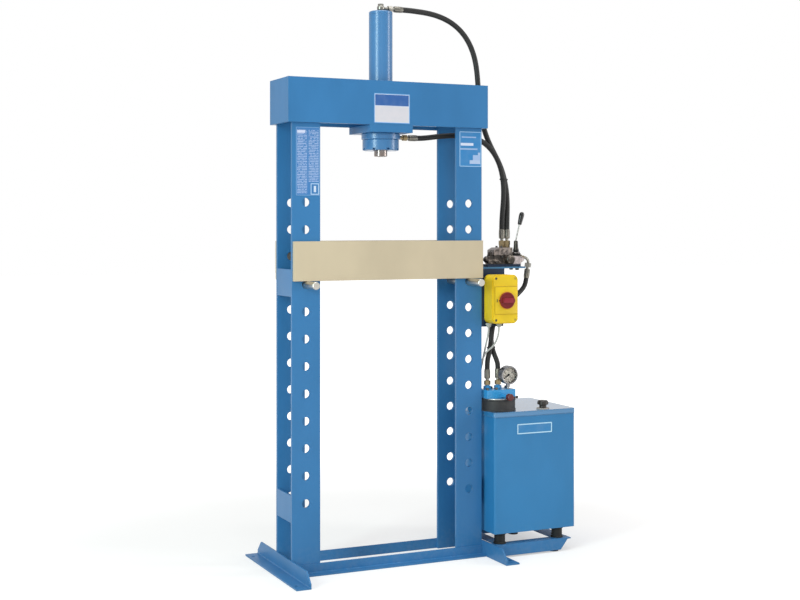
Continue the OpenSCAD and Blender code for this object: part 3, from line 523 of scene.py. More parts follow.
RIGHT_PRINT = (
    block((0.025, 0.20, 0.47), 297, 1504, 386, 1633), block((0.30, 0.42, 0.66), 303, 1612, 366, 1617),
    block((0.66, 0.70, 0.84), 299, 1582, 354, 1592), block((0.30, 0.42, 0.64), 297, 1566, 372, 1572),
    block((0.42, 0.52, 0.72), 338, 1512, 384, 1526), block((0.34, 0.46, 0.70), 352, 1526, 384, 1546),
    block((0.42, 0.52, 0.72), 374, 1546, 384, 1556),
)
TANK_PRINT = (block((0.024, 0.20, 0.45), 510, 472, 657, 503),)


class Stock:
    """Every finish of the press, built once, and the nodes that wear it."""

    FINISHES = (
        Enamel("frame_enamel", BLUE, roughness=0.36, coat=0.04, specular=0.3),
        Enamel("barrel_enamel", BLUE, roughness=0.36, coat=0.5, rough_coat=0.24, peel=0.00001),
        Enamel("tank_enamel", (0.026, 0.195, 0.43), roughness=0.34, coat=0.06, specular=0.35),
        Enamel("lid_enamel", (0.03, 0.20, 0.43), roughness=0.16, coat=0.9, edge=0.006, dusty=0.0),
        Enamel("bed_enamel", (0.577, 0.470, 0.324), roughness=0.45, coat=0.1, dusty=0.0),
        # Brackets painted near-black blue as painted shade, with a painted highlight along their rim.
        Enamel("bracket_painted_shade", (0.004, 0.018, 0.05), roughness=0.45, coat=0.1, specular=0.3,
               patch=Patch((0.05, 0.17, 0.32), BRACKET_RIM_HIGHLIGHT)),
        # Near-black along the foot of the shelf's right end: painted shadow under the tank.
        Enamel("plinth_enamel", BLUE, roughness=0.4, coat=0.04, specular=0.3,
               patch=block((0.012, 0.012, 0.014), 600, -1, FAR, 6.4)),
        Enamel("manifold_enamel", (0.032, 0.30, 0.63), roughness=0.34, coat=0.3, peel=0.0003, edge=0.0012),
        Steel("pin_steel", (0.60, 0.58, 0.53), roughness=0.34, marks=(1.0, 0.05, 1.0)),
        Steel("rod_chrome", (0.34, 0.30, 0.28), roughness=0.2, marks=(1.0, 1.0, 0.05),
              stain=(0.16, 0.07, 0.04), stained=0.45),
        Steel("turned_steel", (0.50, 0.49, 0.46), roughness=0.36),
        Steel("ring_steel", (0.70, 0.69, 0.66)),
        Steel("zinc_plate", (0.29, 0.28, 0.25), patch=Patch((0.27, 0.20, 0.10), YELLOW_NUTS)),
        Steel("sleeve_zinc", (0.21, 0.20, 0.175), roughness=0.36),
        Steel("lever_steel", (0.42, 0.41, 0.39), patch=Patch((0.006, 0.006, 0.006), (LEVER_ROOT,))),
        Steel("bezel_steel", (0.26, 0.26, 0.27), roughness=0.28),
        Steel("dark_screw", (0.10, 0.10, 0.10), roughness=0.4, metallic=0.8),
        Moulded("cover_screw", (0.05, 0.045, 0.03), patch=block((0.55, 0.40, 0.04), 470, 0, FAR, FAR)),
        Moulded("hose_cover", (0.013, 0.0125, 0.012), roughness=0.5, specular=0.35, grain=700.0, depth=0.0001),
        Moulded("soft_rubber", (0.012, 0.012, 0.012), roughness=0.6, specular=0.3),
        Moulded("cable_sheath", (0.50, 0.49, 0.46), roughness=0.5),
        Moulded("gland_nylon", (0.42, 0.42, 0.37), roughness=0.5),
        Moulded("black_gloss", (0.012, 0.012, 0.012), roughness=0.2),
        Moulded("filler_black", (0.02, 0.014, 0.010), roughness=0.35),
        Moulded("filler_base", (0.42, 0.37, 0.33)),
        Moulded("yellow_shell", (0.85, 0.575, 0.02), specular=0.3,
                patch=Patch((0.80, 0.36, 0.03), (BOX_FRONT,), KNOB_SURROUND)),
        # Switch panel with painted shade along its edges.
        Moulded("panel_shell", (0.85, 0.575, 0.02), specular=0.3, patch=Patch((0.52, 0.33, 0.012), PANEL_RIM_SHADE)),
        # Knob with a painted highlight on its grip's forward face.
        Moulded("red_knob", (0.19, 0.010, 0.012), roughness=0.34, specular=0.3,
                patch=Patch((0.27, 0.018, 0.03), (GRIP_FRONT_HIGHLIGHT,))),
        Moulded("relief_red", (0.10, 0.008, 0.008), roughness=0.3,
                patch=block((0.012, 0.012, 0.012), 490, 560, 540, 660)),
        Moulded("dial_card", (0.42, 0.38, 0.33), roughness=0.6),
        Moulded("print_black", (0.02, 0.02, 0.02), roughness=0.6),
        Casting("valve_iron", (0.040, 0.031, 0.024), smoothest=0.22, metallic=0.3, rubbed=(0.40, 0.33, 0.28),
                amount=0.75, patch=block((0.27, 0.225, 0.205), 474, 1158.5, FAR, 1187.5)),
        Casting("housing_alloy", (0.42, 0.36, 0.35), smoothest=0.22, metallic=0.5, rubbed=(0.70, 0.60, 0.60),
                amount=0.7),
        Casting("motor_iron", (0.017, 0.016, 0.017), smoothest=0.48, amount=0.04, sand=0.0001),
        Casting("pump_alloy", (0.5, 0.5, 0.5), smoothest=0.28, metallic=0.8),
        Clear("gauge_pane"),
        Printed("beam_print", (0.10, 0.30, 0.60), BEAM_PRINT),
        Printed("left_print", (0.24, 0.42, 0.68), LEFT_PRINT, LEFT_LINES),
        Printed("right_print", (0.30, 0.50, 0.74), RIGHT_PRINT),
        Printed("tank_print", (0.50, 0.74, 0.88), TANK_PRINT),
    )
    WORN_BY = {
        "frame_enamel": "upright_left upright_right upright_spacers beam_plates beam_ends cylinder_plate "
                        "feet sills",
        "barrel_enamel": "cylinder_barrel cylinder_cap flange_ring gland_nut",
        "tank_enamel": "tank_shell",
        "lid_enamel": "tank_lid",
        "bed_enamel": "bed_plates bed_spacers",
        "bracket_painted_shade": "valve_bracket switch_bracket",
        "plinth_enamel": "tank_shelf",
        "manifold_enamel": "manifold manifold_fittings",
        "pin_steel": "bed_pins",
        "rod_chrome": "ram_rod",
        "turned_steel": "ram_piston valve_spool motor_rotor",
        "ring_steel": "manifold_plate",
        "zinc_plate": "hose_ends pipe_fittings",
        "lever_steel": "valve_lever",
        "bezel_steel": "gauge_case",
        "cover_screw": "cover_screws",
        "hose_cover": "hose_top hose_head hose_pressure hose_return",
        "soft_rubber": "rod_wiper piston_seals tank_mounts valve_boot hose_ties",
        "cable_sheath": "cable_left cable_right",
        "gland_nylon": "cable_glands",
        "black_gloss": "lever_knob gauge_pointer",
        "filler_black": "filler_cap",
        "filler_base": "filler_neck",
        "yellow_shell": "switch_base switch_cover",
        "red_knob": "switch_knob",
        "relief_red": "relief_knob",
        "dial_card": "gauge_dial",
        "valve_iron": "valve_body valve_spring_cap",
        "housing_alloy": "lever_housing",
        "motor_iron": "motor_flange motor_stator",
        "pump_alloy": "oil_pump",
        "gauge_pane": "gauge_glass",
    }

    def __init__(self) -> None:
        """Builds every finish."""
        self.materials = {finish.name: finish.build() for finish in self.FINISHES}

    def dress(self, piece: bpy.types.Object, name: str) -> None:
        """Gives a piece one finish all over."""
        piece.data.materials.clear()
        piece.data.materials.append(self.materials[name])

    def dress_nodes(self, nodes: dict[str, bpy.types.Object]) -> None:
        """Gives every node of the frame its finish.

        Args:
            nodes: The frame's nodes by name.
        """
        for finish, names in self.WORN_BY.items():
            for name in names.split():
                self.dress(nodes[name], finish)


# ---------------------------------------------------------------- stage


@dataclass(frozen=True)
class Softbox:
    """A rectangular lamp that faces a point. Places and sizes are in metres, the power in watts."""

    name: str
    at: Point
    aim: Point
    size: Pair
    power: float
    tint: Colour = WHITE
    mirrored: bool = True

    def hang(self) -> None:
        """Hangs the lamp, and keeps it out of reflections unless it is mirrored."""
        data = bpy.data.lights.new(self.name, "AREA")
        data.shape = "RECTANGLE"
        data.size, data.size_y = self.size
        data.energy = self.power
        data.color = self.tint
        lamp = bpy.data.objects.new(self.name, data)
        lamp.location = self.at
        lamp.visible_glossy = self.mirrored
        lamp.rotation_euler = (Vector(self.aim) - Vector(self.at)).to_track_quat("-Z", "Y").to_euler()
        bpy.context.scene.collection.objects.link(lamp)


SOFTBOXES = (
    Softbox("left_softbox", at=(-4.2, -2.2, 1.9), aim=(0.0, 0.0, 1.1), size=(1.0, 3.4), power=140.0,
            tint=(0.78, 1.0, 0.98)),
    Softbox("right_softbox", at=(4.6, -2.4, 1.9), aim=(0.2, 0.0, 1.1), size=(0.9, 3.4), power=85.0),
    Softbox("front_fill", at=(-1.6, -6.5, 2.6), aim=(0.0, 0.0, 1.0), size=(3.0, 2.0), power=70.0,
            mirrored=False),
    Softbox("top_softbox", at=(0.0, -0.6, 4.6), aim=(0.0, 0.0, 0.5), size=(3.0, 2.6), power=75.0),
)


@dataclass
class Stage:
    """Camera, floor and world, with lengths in metres, and the lamps."""

    azimuth: float = 24.885
    eye: Point = (-2.1012, -4.7045, 1.2728)
    lens: float = 60.86
    sensor: float = 36.0
    shift: float = -0.0927
    sight: float = 100.0
    floor_size: float = 60.0
    floor_gap: float = 0.0005
    floor_colour: Colour = (0.6, 0.585, 0.57)
    glow: float = 0.47
    outer_glow: float = 0.55
    surround: Colour = (0.96, 0.98, 1.0)
    fill: float = 0.42
    mirrored: float = 0.62

    def camera(self) -> None:
        """Sets the camera up, level and turned to the right."""
        data = bpy.data.cameras.new("studio_camera")
        data.lens = self.lens
        data.sensor_width = self.sensor
        data.shift_y = self.shift
        data.clip_end = self.sight
        rig = bpy.data.objects.new("studio_camera", data)
        rig.location = self.eye
        rig.rotation_euler = (math.pi / 2, 0.0, -math.radians(self.azimuth))
        bpy.context.scene.collection.objects.link(rig)
        bpy.context.scene.camera = rig

    def floor(self) -> None:
        """Lays a floor that takes the press's shadow and, seen directly, glows more further out."""
        deselect()
        bpy.ops.mesh.primitive_plane_add(size=self.floor_size, location=(0.0, 0.0, -self.floor_gap))
        plane = bpy.context.active_object
        plane.name = "studio_floor"
        g = Graph("studio_floor")
        bare = g.node("ShaderNodeBsdfDiffuse", {0: (*self.floor_colour, 1.0)})
        outward = (g.axis(0).squared() + g.axis(1).squared()).ramp(1.0, 6.0)
        strength = outward * self.outer_glow + self.glow
        glowing = g.node("ShaderNodeEmission", {0: (*WHITE, 1.0), 1: strength})
        seen = g.node("ShaderNodeAddShader", {0: bare, 1: glowing})
        direct = g.rays("Camera", "Glossy", "Transmission")
        g.node("ShaderNodeOutputMaterial", {0: g.node("ShaderNodeMixShader", {0: direct, 1: bare, 2: seen})})
        plane.data.materials.append(g.owner)

    def world(self) -> None:
        """A white surround for what is seen directly, a greyer one in gloss, and a plain fill of light."""
        g = Graph("studio_world", "worlds")
        fill = g.node("ShaderNodeBackground", {0: (*self.surround, 1.0), 1: self.fill})
        white = g.node("ShaderNodeBackground", {0: (*WHITE, 1.0), 1: 1.0})
        share = g.rays("Glossy") * self.mirrored + g.rays("Camera", "Transmission")
        g.node("ShaderNodeOutputWorld", {0: g.node("ShaderNodeMixShader", {0: share, 1: fill, 2: white})})
        bpy.context.scene.world = g.owner

    def build(self) -> None:
        """Builds the whole stage."""
        bpy.context.scene.view_settings.view_transform = "Standard"
        self.camera()
        self.floor()
        self.world()
        for lamp in SOFTBOXES:
            lamp.hang()


# ---------------------------------------------------------------- modelling bench


def deselect() -> None:
    """Leaves edit mode and deselects every object."""
    if bpy.context.object and bpy.context.object.mode != "OBJECT":
        bpy.ops.object.mode_set(mode="OBJECT")
    bpy.ops.object.select_all(action="DESELECT")


def metres(point: Sequence[float]) -> Vector:
    """A point in millimetres, in metres."""
    return Vector(point) / PER_METRE


class Work:
    """A piece on the bench, shaped in edit mode. Sizes and places are in millimetres."""

    MERGED = 0.000005  # metres within which two corners become one
    SMOOTH = 32.0  # degrees up to which an edge is shaded smooth
    RING_CORNER = 0.00028  # metres of corner for each millimetre of a ring's thinner side

    def __init__(self, name: str) -> None:
        """Takes the primitive that was just added, and opens it in edit mode."""
        self.piece = bpy.context.active_object
        self.piece.name = self.piece.data.name = name
        bpy.ops.object.transform_apply(location=True, rotation=True, scale=True)
        bpy.ops.object.mode_set(mode="EDIT")

    @classmethod
    def block(cls, name: str, low: Point, high: Point) -> Work:
        """Starts from a block between two corners."""
        deselect()
        middle, size = (metres(low) + metres(high)) / 2, metres(high) - metres(low)
        bpy.ops.mesh.primitive_cube_add(size=1.0, location=middle, scale=size)
        return cls(name)

    @classmethod
    def turned(cls, name: str, start: Point, axis: Point, profile: Sequence[Pair], sides: int = 32) -> Work:
        """Starts from a disc and draws it out along its axis, as on a lathe.

        Args:
            name: The piece's name.
            start: Where the axis starts.
            axis: Which way the axis runs.
            profile: Distances along the axis, each with the radius there.
            sides: Corners of the disc.

        Returns:
            The piece, still open.
        """
        deselect()
        way, (along, radius) = Vector(axis).normalized(), profile[0]
        place = metres(start) + way * along / PER_METRE
        bpy.ops.mesh.primitive_circle_add(vertices=sides, radius=radius / PER_METRE, fill_type="NGON",
                                          location=place, rotation=way.to_track_quat("Z", "Y").to_euler())
        work = cls(name)
        for reach, wide in profile[1:]:
            work.extrude(way * (reach - along))
            work.resize(wide / radius, metres(start) + way * reach / PER_METRE)
            along, radius = reach, wide
        return work

    @classmethod
    def ring(cls, name: str, centre: Point, axis: Point, radii: Pair, reach: Pair, sides: int = 64) -> Work:
        """Spins a rectangle with rounded corners round an axis.

        Args:
            name: The piece's name.
            centre: A point on the axis.
            axis: Which way the axis runs.
            radii: Inner and outer radius.
            reach: Where the ring starts and ends along the axis.
            sides: Steps of the spin.

        Returns:
            The piece, still open.
        """
        deselect()
        way, middle = Vector(axis).normalized(), metres(centre)
        out = way.orthogonal().normalized()
        thick, deep = radii[1] - radii[0], reach[1] - reach[0]
        place = middle + out * (sum(radii) / 2.0 / PER_METRE) + way * (sum(reach) / 2.0 / PER_METRE)
        basis = Matrix((out, way, out.cross(way))).transposed()
        bpy.ops.mesh.primitive_plane_add(size=1.0, location=place, rotation=basis.to_euler())
        bpy.context.active_object.scale = (thick / PER_METRE, deep / PER_METRE, 1.0)
        work = cls(name)
        bpy.ops.mesh.select_all(action="SELECT")
        bpy.ops.mesh.bevel(offset=min(thick, deep) * cls.RING_CORNER, segments=2, affect="VERTICES")
        bpy.ops.mesh.select_all(action="SELECT")
        bpy.ops.mesh.delete(type="ONLY_FACE")
        bpy.ops.mesh.select_all(action="SELECT")
        bpy.ops.mesh.spin(steps=sides, angle=math.tau, center=middle, axis=way)
        return work

    def pick(self, kind: str, test: Test) -> None:
        """Selects faces or edges.

        Args:
            kind: "faces" or "edges".
            test: Says whether one is wanted, from its middle in millimetres and its normal or direction.
        """
        bpy.context.tool_settings.mesh_select_mode = (False, kind == "edges", kind == "faces")
        mesh = bmesh.from_edit_mesh(self.piece.data)
        for part in (*mesh.verts, *mesh.edges, *mesh.faces):
            part.select_set(False)
        for part in getattr(mesh, kind):
            if kind == "faces":
                middle, way = part.calc_center_median(), part.normal
            else:
                middle = (part.verts[0].co + part.verts[1].co) / 2
                way = (part.verts[1].co - part.verts[0].co).normalized()
            if test(middle * PER_METRE, way):
                part.select_set(True)
        mesh.select_flush_mode()
        bmesh.update_edit_mesh(self.piece.data)

    def extrude(self, offset: Vector) -> None:
        """Extrudes the selection by an offset in millimetres."""
        bpy.ops.mesh.extrude_region_move(TRANSFORM_OT_translate={"value": offset / PER_METRE})

    def resize(self, factor: float, centre: Vector) -> None:
        """Scales the selection round a point in metres."""
        bpy.ops.transform.resize(value=(factor,) * 3, center_override=centre)

    def inset(self, width: float, depth: float = 0.0) -> None:
        """Insets the selected faces as one region, sunk or raised by the depth."""
        bpy.ops.mesh.inset(thickness=width / PER_METRE, depth=depth / PER_METRE)

    def round_off(self, width: float, segments: int = 3) -> None:
        """Bevels the selected edges."""
        bpy.ops.mesh.bevel(offset=width / PER_METRE, segments=segments, affect="EDGES")

    def round_corners(self, width: float, segments: int = 3) -> None:
        """Bevels the edges that run from front to back."""
        self.pick("edges", lambda at, way: abs(way.y) > ALONG)
        self.round_off(width, segments)

    def inset_front(self, width: float, depth: float) -> None:
        """Insets the faces that look to the front, sunk or raised by the depth."""
        self.pick("faces", lambda at, way: way.y < -ALONG)
        self.inset(width, depth)

    def repeat(self, places: Sequence[Point]) -> None:
        """Copies the whole mesh from the first place to each of the others."""
        bpy.ops.mesh.select_all(action="SELECT")
        for before, after in zip(places, places[1:]):
            bpy.ops.mesh.duplicate_move(TRANSFORM_OT_translate={"value": metres(after) - metres(before)})

    def done(self, stock: Stock, finish: str, body: str, slot: str) -> bpy.types.Object:
        """Closes the piece, dresses it and hangs it on its body.

        Args:
            stock: The finishes.
            finish: Which one it wears.
            body: The body that it rides on.
            slot: The record's material slot, which is not used.

        Returns:
            The finished piece.
        """
        bpy.ops.mesh.select_all(action="SELECT")
        bpy.ops.mesh.remove_doubles(threshold=self.MERGED)
        bpy.ops.mesh.normals_make_consistent(inside=False)
        bpy.ops.object.mode_set(mode="OBJECT")
        bpy.ops.object.shade_smooth_by_angle(angle=math.radians(self.SMOOTH))
        stock.dress(self.piece, finish)
        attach(self.piece, body)
        LOG.info("%s: %d faces", self.piece.name, len(self.piece.data.polygons))
        return self.piece


# ---------------------------------------------------------------- plates, screws and fittings


@dataclass
class Plates:
    """The printed plates: thin sheet with rounded corners and a raised rim, all without words."""

    thick: float = 0.8
    corner: float = 2.5
    rim: float = 1.6
    sunk: float = -0.15
    beam_face: float = -99.5
    bar_face: float = -84.5
    tank_face: float = -160.0

    def plate(self, stock: Stock, name: str, low: Pair, high: Pair, face: float, finish: str) -> None:
        """Makes one plate on a front face.

        Args:
            stock: The finishes.
            name: The piece's name.
            low: Its lowest X and Z.
            high: Its highest X and Z.
            face: The Y of the face that carries it.
            finish: What is printed on it.
        """
        work = Work.block(name, (low[0], face - self.thick, low[1]), (high[0], face, high[1]))
        work.round_corners(self.corner)
        work.inset_front(self.rim, self.sunk)
        work.done(stock, finish, "frame", "dial_white")

    def build(self, stock: Stock) -> None:
        """Makes the four plates."""
        self.plate(stock, "beam_plate", (-72, 1656), (76, 1768), self.beam_face, "beam_print")
        self.plate(stock, "chart_plate", (-375, 1384), (-283, 1633), self.bar_face, "left_print")
        self.plate(stock, "diagram_plate", (294, 1501), (389, 1636), self.bar_face, "right_print")
        self.plate(stock, "tank_badge", (506, 468), (661, 507), self.tank_face, "tank_print")


@dataclass
class Crimps:
    """Pressed sleeves over the hose ends, with the flutes of the crimping dies."""

    radius: float = 11.9
    flutes: int = 8
    fluted: Pair = (8.0, 26.0)
    die_edge: float = 0.5
    pressed: float = -0.7
    ends: tuple[tuple[Point, Point], ...] = (
        ((428.5, -60, 677), (0, 0, 1)), ((475.5, -60, 677), (0, 0, 1)), ((527, 0, 1222), (0, 0, 1)),
        ((550, 0, 1222), (0, 0, 1)), ((116, 0, 1610.5), (1, 0, 0)), ((54, 0, 2101), (1, 0, 0)),
        ((652.65, 15, 1099.4), (-0.139, 0, -0.990)), ((500, 75, 1092), (0, 0, -1)),
    )

    def build(self, stock: Stock) -> None:
        """Presses a sleeve at each hose end."""
        r = self.radius
        for number, (start, axis) in enumerate(self.ends, 1):
            work = Work.turned(f"crimp_{number}", start, axis, (
                (0.4, r - 1.6), (1.2, r - 0.5), (3.5, r - 0.5), (5.0, r),
                (29.0, r), (30.5, r - 0.5), (35.0, r - 0.4), (36.4, r - 0.9)), self.flutes * 4)
            way, foot = Vector(axis).normalized(), Vector(start)
            side = way.orthogonal().normalized()
            lift = way.cross(side)
            half = math.pi / self.flutes

            def under_die(at: Vector, normal: Vector) -> bool:
                """Whether a face lies on the long middle part, under a die's edge."""
                reach = (at - foot).dot(way)
                turn = math.atan2(normal.dot(lift), normal.dot(side)) % (2.0 * half)
                return self.fluted[0] < reach < self.fluted[1] and abs(turn - half) < half / 3.0

            work.pick("faces", under_die)
            work.inset(self.die_edge, self.pressed)
            work.done(stock, "sleeve_zinc", "frame", "zinc_fittings")


@dataclass
class Screws:
    """Socket-head and hexagon screws that stand on the machined faces."""

    chamfer: float = 0.6
    seat: float = 1.6
    finish: str = "dark_screw"
    slot: str = "screw_dark"

    def socket(self, stock: Stock, name: str, axis: Point, size: float, places: Sequence[Point]) -> None:
        """Makes a row of socket-head screws.

        Args:
            stock: The finishes.
            name: The piece's name.
            axis: Which way the heads stand out.
            size: The thread's diameter.
            places: Where the heads sit.
        """
        head, cut = size * 0.75, self.chamfer
        work = Work.turned(name, places[0], axis, ((0.0, head), (size - cut, head), (size, head - cut)), 24)
        top = Vector(places[0]) + Vector(axis).normalized() * size
        work.pick("faces", lambda at, normal: (at - top).length < cut)
        work.inset(head * 0.42, -size * 0.45)
        work.repeat(places)
        work.done(stock, self.finish, "frame", self.slot)

    def hexagon(self, stock: Stock, name: str, axis: Point, across: float, places: Sequence[Point]) -> None:
        """Makes a row of hexagon heads, each on a wider six-sided seat.

        Args:
            stock: The finishes.
            name: The piece's name.
            axis: Which way the heads stand out.
            across: Width across the flats.
            places: Where the seats lie.
        """
        corner = across / math.sqrt(3.0)
        seat = (0.0, corner * 1.25), (self.seat, corner * 1.25)
        head = (self.seat, corner), (across * 0.62, corner), (across * 0.7, corner * 0.86)
        work = Work.turned(name, places[0], axis, (*seat, *head), 6)
        work.repeat(places)
        work.done(stock, self.finish, "frame", self.slot)

    def build(self, stock: Stock) -> None:
        """Sets every screw."""
        self.socket(stock, "valve_screws", (0, -1, 0), 6.0, ((486, -30, 1129), (510, -30, 1150)))
        self.socket(stock, "block_screws", (0, 0, 1), 6.0, ((514, -20, 1187), (514, 20, 1187)))
        self.socket(stock, "manifold_screws", (0, 0, 1), 8.0,
                    ((452, -92, 636), (452, -48, 636), (412, -92, 636), (518, -48, 636)))
        self.hexagon(stock, "bracket_bolts", (0, 0, -1), 13.0, ((583, -24, 1106), (583, 24, 1106)))


@dataclass
class Gauge:
    """The oil gauge: rolled bezel, ticks and numbers on the dial, and the pointer's hub."""

    centre: Point = (503.0, -92.0, 691.0)
    dial_face: float = -94.0
    start: float = 216.0
    sweep: float = 252.0
    marks: int = 40
    long_every: int = 10
    long_tick: tuple[float, Point] = (26.5, (0.0045, 0.0002, 0.0009))
    short_tick: tuple[float, Point] = (27.6, (0.0025, 0.0002, 0.0005))
    numbers: int = 5
    number_step: int = 100
    number_ring: float = 20.0
    number_height: float = 0.0075
    number_depth: float = 0.00008
    bezel: tuple[Pair, Pair] = ((30.5, 36.0), (10.5, 16.0))
    hub_gap: float = 2.7
    hub: tuple[Pair, ...] = ((0.0, 4.6), (1.6, 4.6), (2.6, 3.4))

    def polar(self, degrees: float, radius: float) -> Pair:
        """X and Z of a point on the dial."""
        turn = math.radians(degrees)
        return self.centre[0] + radius * math.cos(turn), self.centre[2] + radius * math.sin(turn)

    def build(self, stock: Stock) -> None:
        """Makes the bezel, ticks, numbers and hub."""
        x, _, z = self.centre
        Work.ring("gauge_bezel", self.centre, (0, -1, 0), *self.bezel).done(
            stock, "bezel_steel", "frame", "gauge_steel")
        self.ticks(stock)
        for number in range(self.numbers):
            self.number(stock, number)
        Work.turned("pointer_hub", (x, self.dial_face - self.hub_gap, z), (0, -1, 0), self.hub, 24).done(
            stock, "print_black", "pointer", "black_plastic")

    def ticks(self, stock: Stock) -> None:
        """Prints the ticks: a thin bar for each, and a longer one at every tenth."""
        deselect()
        bars = []
        for mark in range(self.marks + 1):
            radius, size = self.short_tick if mark % self.long_every else self.long_tick
            degrees = self.start - self.sweep * mark / self.marks
            across, up = self.polar(degrees, radius)
            bpy.ops.mesh.primitive_cube_add(size=1.0, location=metres((across, self.dial_face - 0.1, up)),
                                            rotation=(0.0, -math.radians(degrees), 0.0))
            bars.append(bpy.context.active_object)
            bars[-1].scale = size
        for bar in bars:
            bar.select_set(True)
        bpy.context.view_layer.objects.active = bars[0]
        bpy.ops.object.join()
        Work("gauge_ticks").done(stock, "print_black", "frame", "dial_white")

    def number(self, stock: Stock, number: int) -> None:
        """Prints one number.

        Args:
            stock: The finishes.
            number: Which of them, counted from the scale's start.
        """
        deselect()
        across, up = self.polar(self.start - self.sweep * number / (self.numbers - 1), self.number_ring)
        bpy.ops.object.text_add(location=metres((across, self.dial_face - 0.05, up)),
                                rotation=(math.pi / 2, 0, 0))
        words = bpy.context.active_object
        words.data.body = str(number * self.number_step)
        words.data.size = self.number_height
        words.data.align_x = words.data.align_y = "CENTER"
        words.data.extrude = self.number_depth
        bpy.ops.object.convert(target="MESH")
        Work(f"gauge_number_{number}").done(stock, "print_black", "frame", "dial_white")


@dataclass
class Lever:
    """The valve's hand lever: a folded rubber boot round it."""

    foot: Point = (583.0, -14.0, 1154.0)
    folds: int = 3
    fold_rise: float = 6.0
    first_fold: Pair = (5.0, 19.4)
    narrower: float = 3.4
    fold: tuple[Pair, ...] = ((0.0, -2.6), (1.2, -2.4), (3.4, 0.6), (4.4, 0.0))
    flange: tuple[Pair, ...] = ((0.3, 20.6), (2.5, 20.9), (4.0, 20.0))
    collar: tuple[Pair, ...] = ((24.0, 8.6), (30.0, 8.0), (44.0, 7.6), (58.0, 7.2), (59.5, 6.2))

    def build(self, stock: Stock) -> None:
        """Draws the boot out of a disc, fold by fold, in place of the boot's node."""
        profile = [*self.flange]
        for fold in range(self.folds):
            rise, wide = self.first_fold[0] + self.fold_rise * fold, self.first_fold[1] - self.narrower * fold
            profile += [(rise + up, wide + out) for up, out in self.fold]
        work = Work.turned("lever_boot", self.foot, (0, 0, 1), (*profile, *self.collar), 40)
        piece = work.done(stock, "soft_rubber", "lever", "seal_rubber")
        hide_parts("valve_boot")
        piece.parent = None
        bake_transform(piece)


@dataclass
class Isolator:
    """Front of the switch box: stepped panel, one mark, and the round knob with its bar grip."""

    centre: Point = (460.5, -158.8, 986.0)
    front: float = -154.5
    panel_low: Pair = (409.0, 933.0)
    panel_high: Pair = (508.0, 1041.0)
    radius: float = 31.5

    def build(self, stock: Stock) -> None:
        """Makes the panel, the mark and the knob."""
        self.panel(stock)
        self.knob(stock)

    def panel(self, stock: Stock) -> None:
        """Makes the stepped panel and the mark on it."""
        y, z, (left, low), (right, high) = self.front, self.centre[2], self.panel_low, self.panel_high
        panel = Work.block("switch_panel", (left, y - 3.0, low), (right, y, high))
        panel.round_corners(4.0)
        panel.inset_front(1.6, 0.8)
        panel.done(stock, "panel_shell", "frame", "yellow_plastic")
        mark = Work.block("switch_marks", (417, y - 4.5, z - 6), (420, y - 3.6, z + 6))
        mark.round_corners(0.8, 2)
        mark.done(stock, "print_black", "frame", "black_plastic")

    def knob(self, stock: Stock) -> None:
        """Makes the knob's disc, the bar grip across it and the pointer on its left."""
        (x, y, z), r = self.centre, self.radius
        disc = Work.turned("knob_face", (x, y - 0.2, z), (0, -1, 0), (
            (0.0, r - 1.2), (1.0, r), (6.5, r), (8.2, r - 1.2),
            (8.8, r - 3.0), (8.8, r - 6.0), (7.8, r - 7.5)), 64)
        disc.done(stock, "red_knob", "isolator_knob", "red_plastic")
        grip = Work.block("knob_grip", (x - r + 4, y - 17.4, z - 9), (x + r - 4, y - 6.0, z + 9))
        grip.round_corners(7.0, 5)
        grip.inset_front(2.2, 0.6)
        piece = grip.done(stock, "red_knob", "isolator_knob", "red_plastic")
        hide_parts("switch_knob")
        tab = Work.block("knob_pointer", (x - r - 4.0, y - 7.0, z - 3), (x - r + 2.0, y - 1.5, z + 3))
        tab.pick("edges", lambda at, way: abs(way.y) > ALONG and at.x < x - r)
        tab.round_off(2.0)
        tab.done(stock, "red_knob", "isolator_knob", "red_plastic")


# ---------------------------------------------------------------- hoses and cables


class Line(Enum):
    """The kinds of flexible line: diameter in metres, finish and stiffness."""

    RAM_HOSE = (0.021, "hose_cover", "stiff")
    PUMP_HOSE = (0.0195, "hose_cover", "stiff")
    CABLE = (0.007, "cable_sheath", "medium")


@dataclass
class Route:
    """A hose or cable that lies free between two fittings."""

    name: str
    node: str
    kind: Line
    points: tuple[Point, ...]
    others: tuple[str, ...] = ()
    order: int = 4
    round_steps: int = 5
    along_steps: int = 8

    def build(self, stock: Stock) -> bpy.types.Object:
        """Draws the line as one smooth curve.

        Args:
            stock: The finishes.

        Returns:
            The curve.
        """
        diameter, finish, stiffness = self.kind.value
        data = bpy.data.curves.new(self.name, "CURVE")
        data.dimensions = "3D"
        data.bevel_depth = diameter / 2
        data.bevel_resolution = self.round_steps
        data.resolution_u = self.along_steps
        data.use_fill_caps = True
        spline = data.splines.new("NURBS")
        spline.points.add(len(self.points) - 1)
        for knot, point in zip(spline.points, self.points):
            knot.co = (*metres(point), 1.0)
        spline.order_u = self.order
        spline.use_endpoint_u = True
        piece = bpy.data.objects.new(self.name, data)
        bpy.context.scene.collection.objects.link(piece)
        data.materials.append(stock.materials[finish])
        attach(piece, "frame")
        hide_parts(self.node)
        return piece


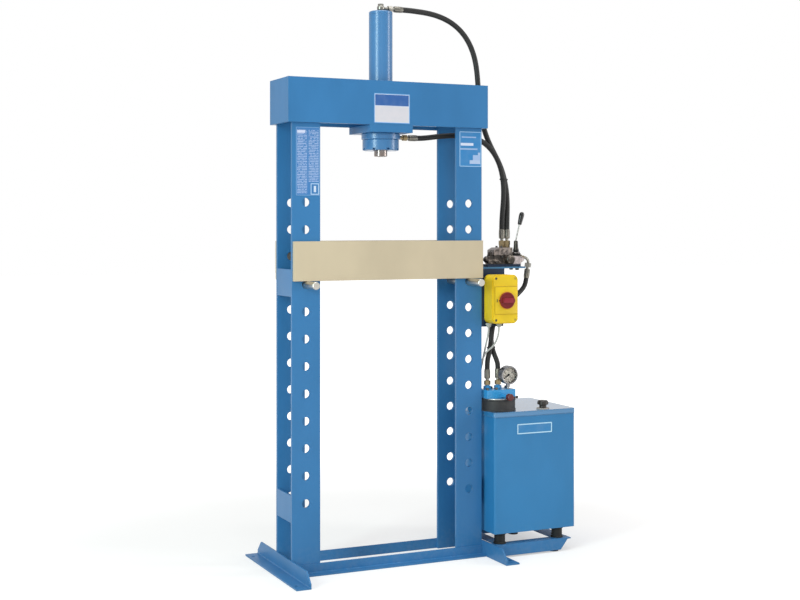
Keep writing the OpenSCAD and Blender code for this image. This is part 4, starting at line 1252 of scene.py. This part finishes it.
ROUTES = (
    Route("ram_hose_top", "hose_top", Line.RAM_HOSE, (
        (91, 0, 2101), (118, 0, 2101), (160, 1, 2099), (204, 3, 2096), (250, 6, 2088), (296, 9, 2073),
        (340, 11, 2047), (377, 13, 2010), (403, 14, 1964), (418, 14, 1914), (425, 14, 1860), (428, 13, 1805),
        (432, 12, 1752), (440, 11, 1700), (453, 10, 1651), (471, 10, 1607), (494, 10, 1567), (517, 10, 1529),
        (535, 10, 1490), (547, 10, 1448), (554, 9, 1405), (555, 6, 1360), (552, 2, 1320), (550, 0, 1286),
        (550, 0, 1259)), ("hose_ties",)),
    Route("ram_hose_head", "hose_head", Line.RAM_HOSE, (
        (153, 0, 1610.5), (176, 0, 1610.5), (212, -6, 1615.5), (250, -10, 1620.5), (294, -12, 1624),
        (338, -13, 1624.5), (380, -13, 1621), (418, -13, 1611.5), (450, -13, 1594), (477, -13, 1569.5),
        (498, -13, 1540), (514, -13, 1505), (524, -13, 1466), (529, -12, 1423), (530, -9, 1378),
        (528, -4, 1330), (527, 0, 1288), (527, 0, 1259))),
    Route("supply_hose", "hose_pressure", Line.PUMP_HOSE, (
        (647.5, 15, 1062.8), (643.7, 15, 1036), (626, 12, 1016), (602, 7, 999), (573, -3, 980),
        (541, -16, 962), (507, -30, 942), (477, -43, 915), (457, -53, 882), (449, -58, 848), (444, -60, 812),
        (438, -60, 780), (430, -60, 752), (428.5, -60, 734), (428.5, -60, 714))),
    Route("return_hose", "hose_return", Line.PUMP_HOSE, (
        (500, 75, 1055), (500, 75, 1036), (498, 70, 1008), (494, 58, 984), (488, 42, 960), (481, 23, 937),
        (474, 3, 914), (467, -16, 889), (462, -29, 861), (458, -37, 831), (458, -43, 802), (462, -51, 774),
        (469, -59, 752), (474.5, -60, 735), (475.5, -60, 725), (475.5, -60, 714))),
    Route("motor_cable_left", "cable_left", Line.CABLE, (
        (414, -97, 880), (414, -97, 862), (414, -88, 838), (415, -75, 813), (418, -59, 788), (421, -42, 761),
        (425, -24, 732), (428, -6, 702), (431, 11, 670), (434, 27, 638), (436, 38, 610), (436, 40, 596),
        (436, 40, 580))),
    Route("motor_cable_right", "cable_right", Line.CABLE, (
        (460, -97, 880), (460, -97, 862), (458, -93, 842), (453, -86, 822), (445, -80, 806), (434, -78, 796),
        (422, -75, 787), (413, -69, 774), (409, -60, 756), (408, -46, 730), (410, -28, 700), (413, -6, 670),
        (416, 20, 640), (418, 50, 614), (418, 71, 602), (418, 75, 592), (418, 75, 580))),
)


def main() -> None:
    """Builds the looks of the press."""
    logging.basicConfig(level=logging.INFO, format="%(name)s: %(message)s")
    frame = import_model()
    Stage().build()
    stock = Stock()
    for route in ROUTES:
        route.build(stock)
    stock.dress_nodes(frame["nodes"])
    for part in (Plates(), Crimps(), Screws(), Gauge(), Lever(), Isolator()):
        part.build(stock)


if __name__ == "__main__":
    main()
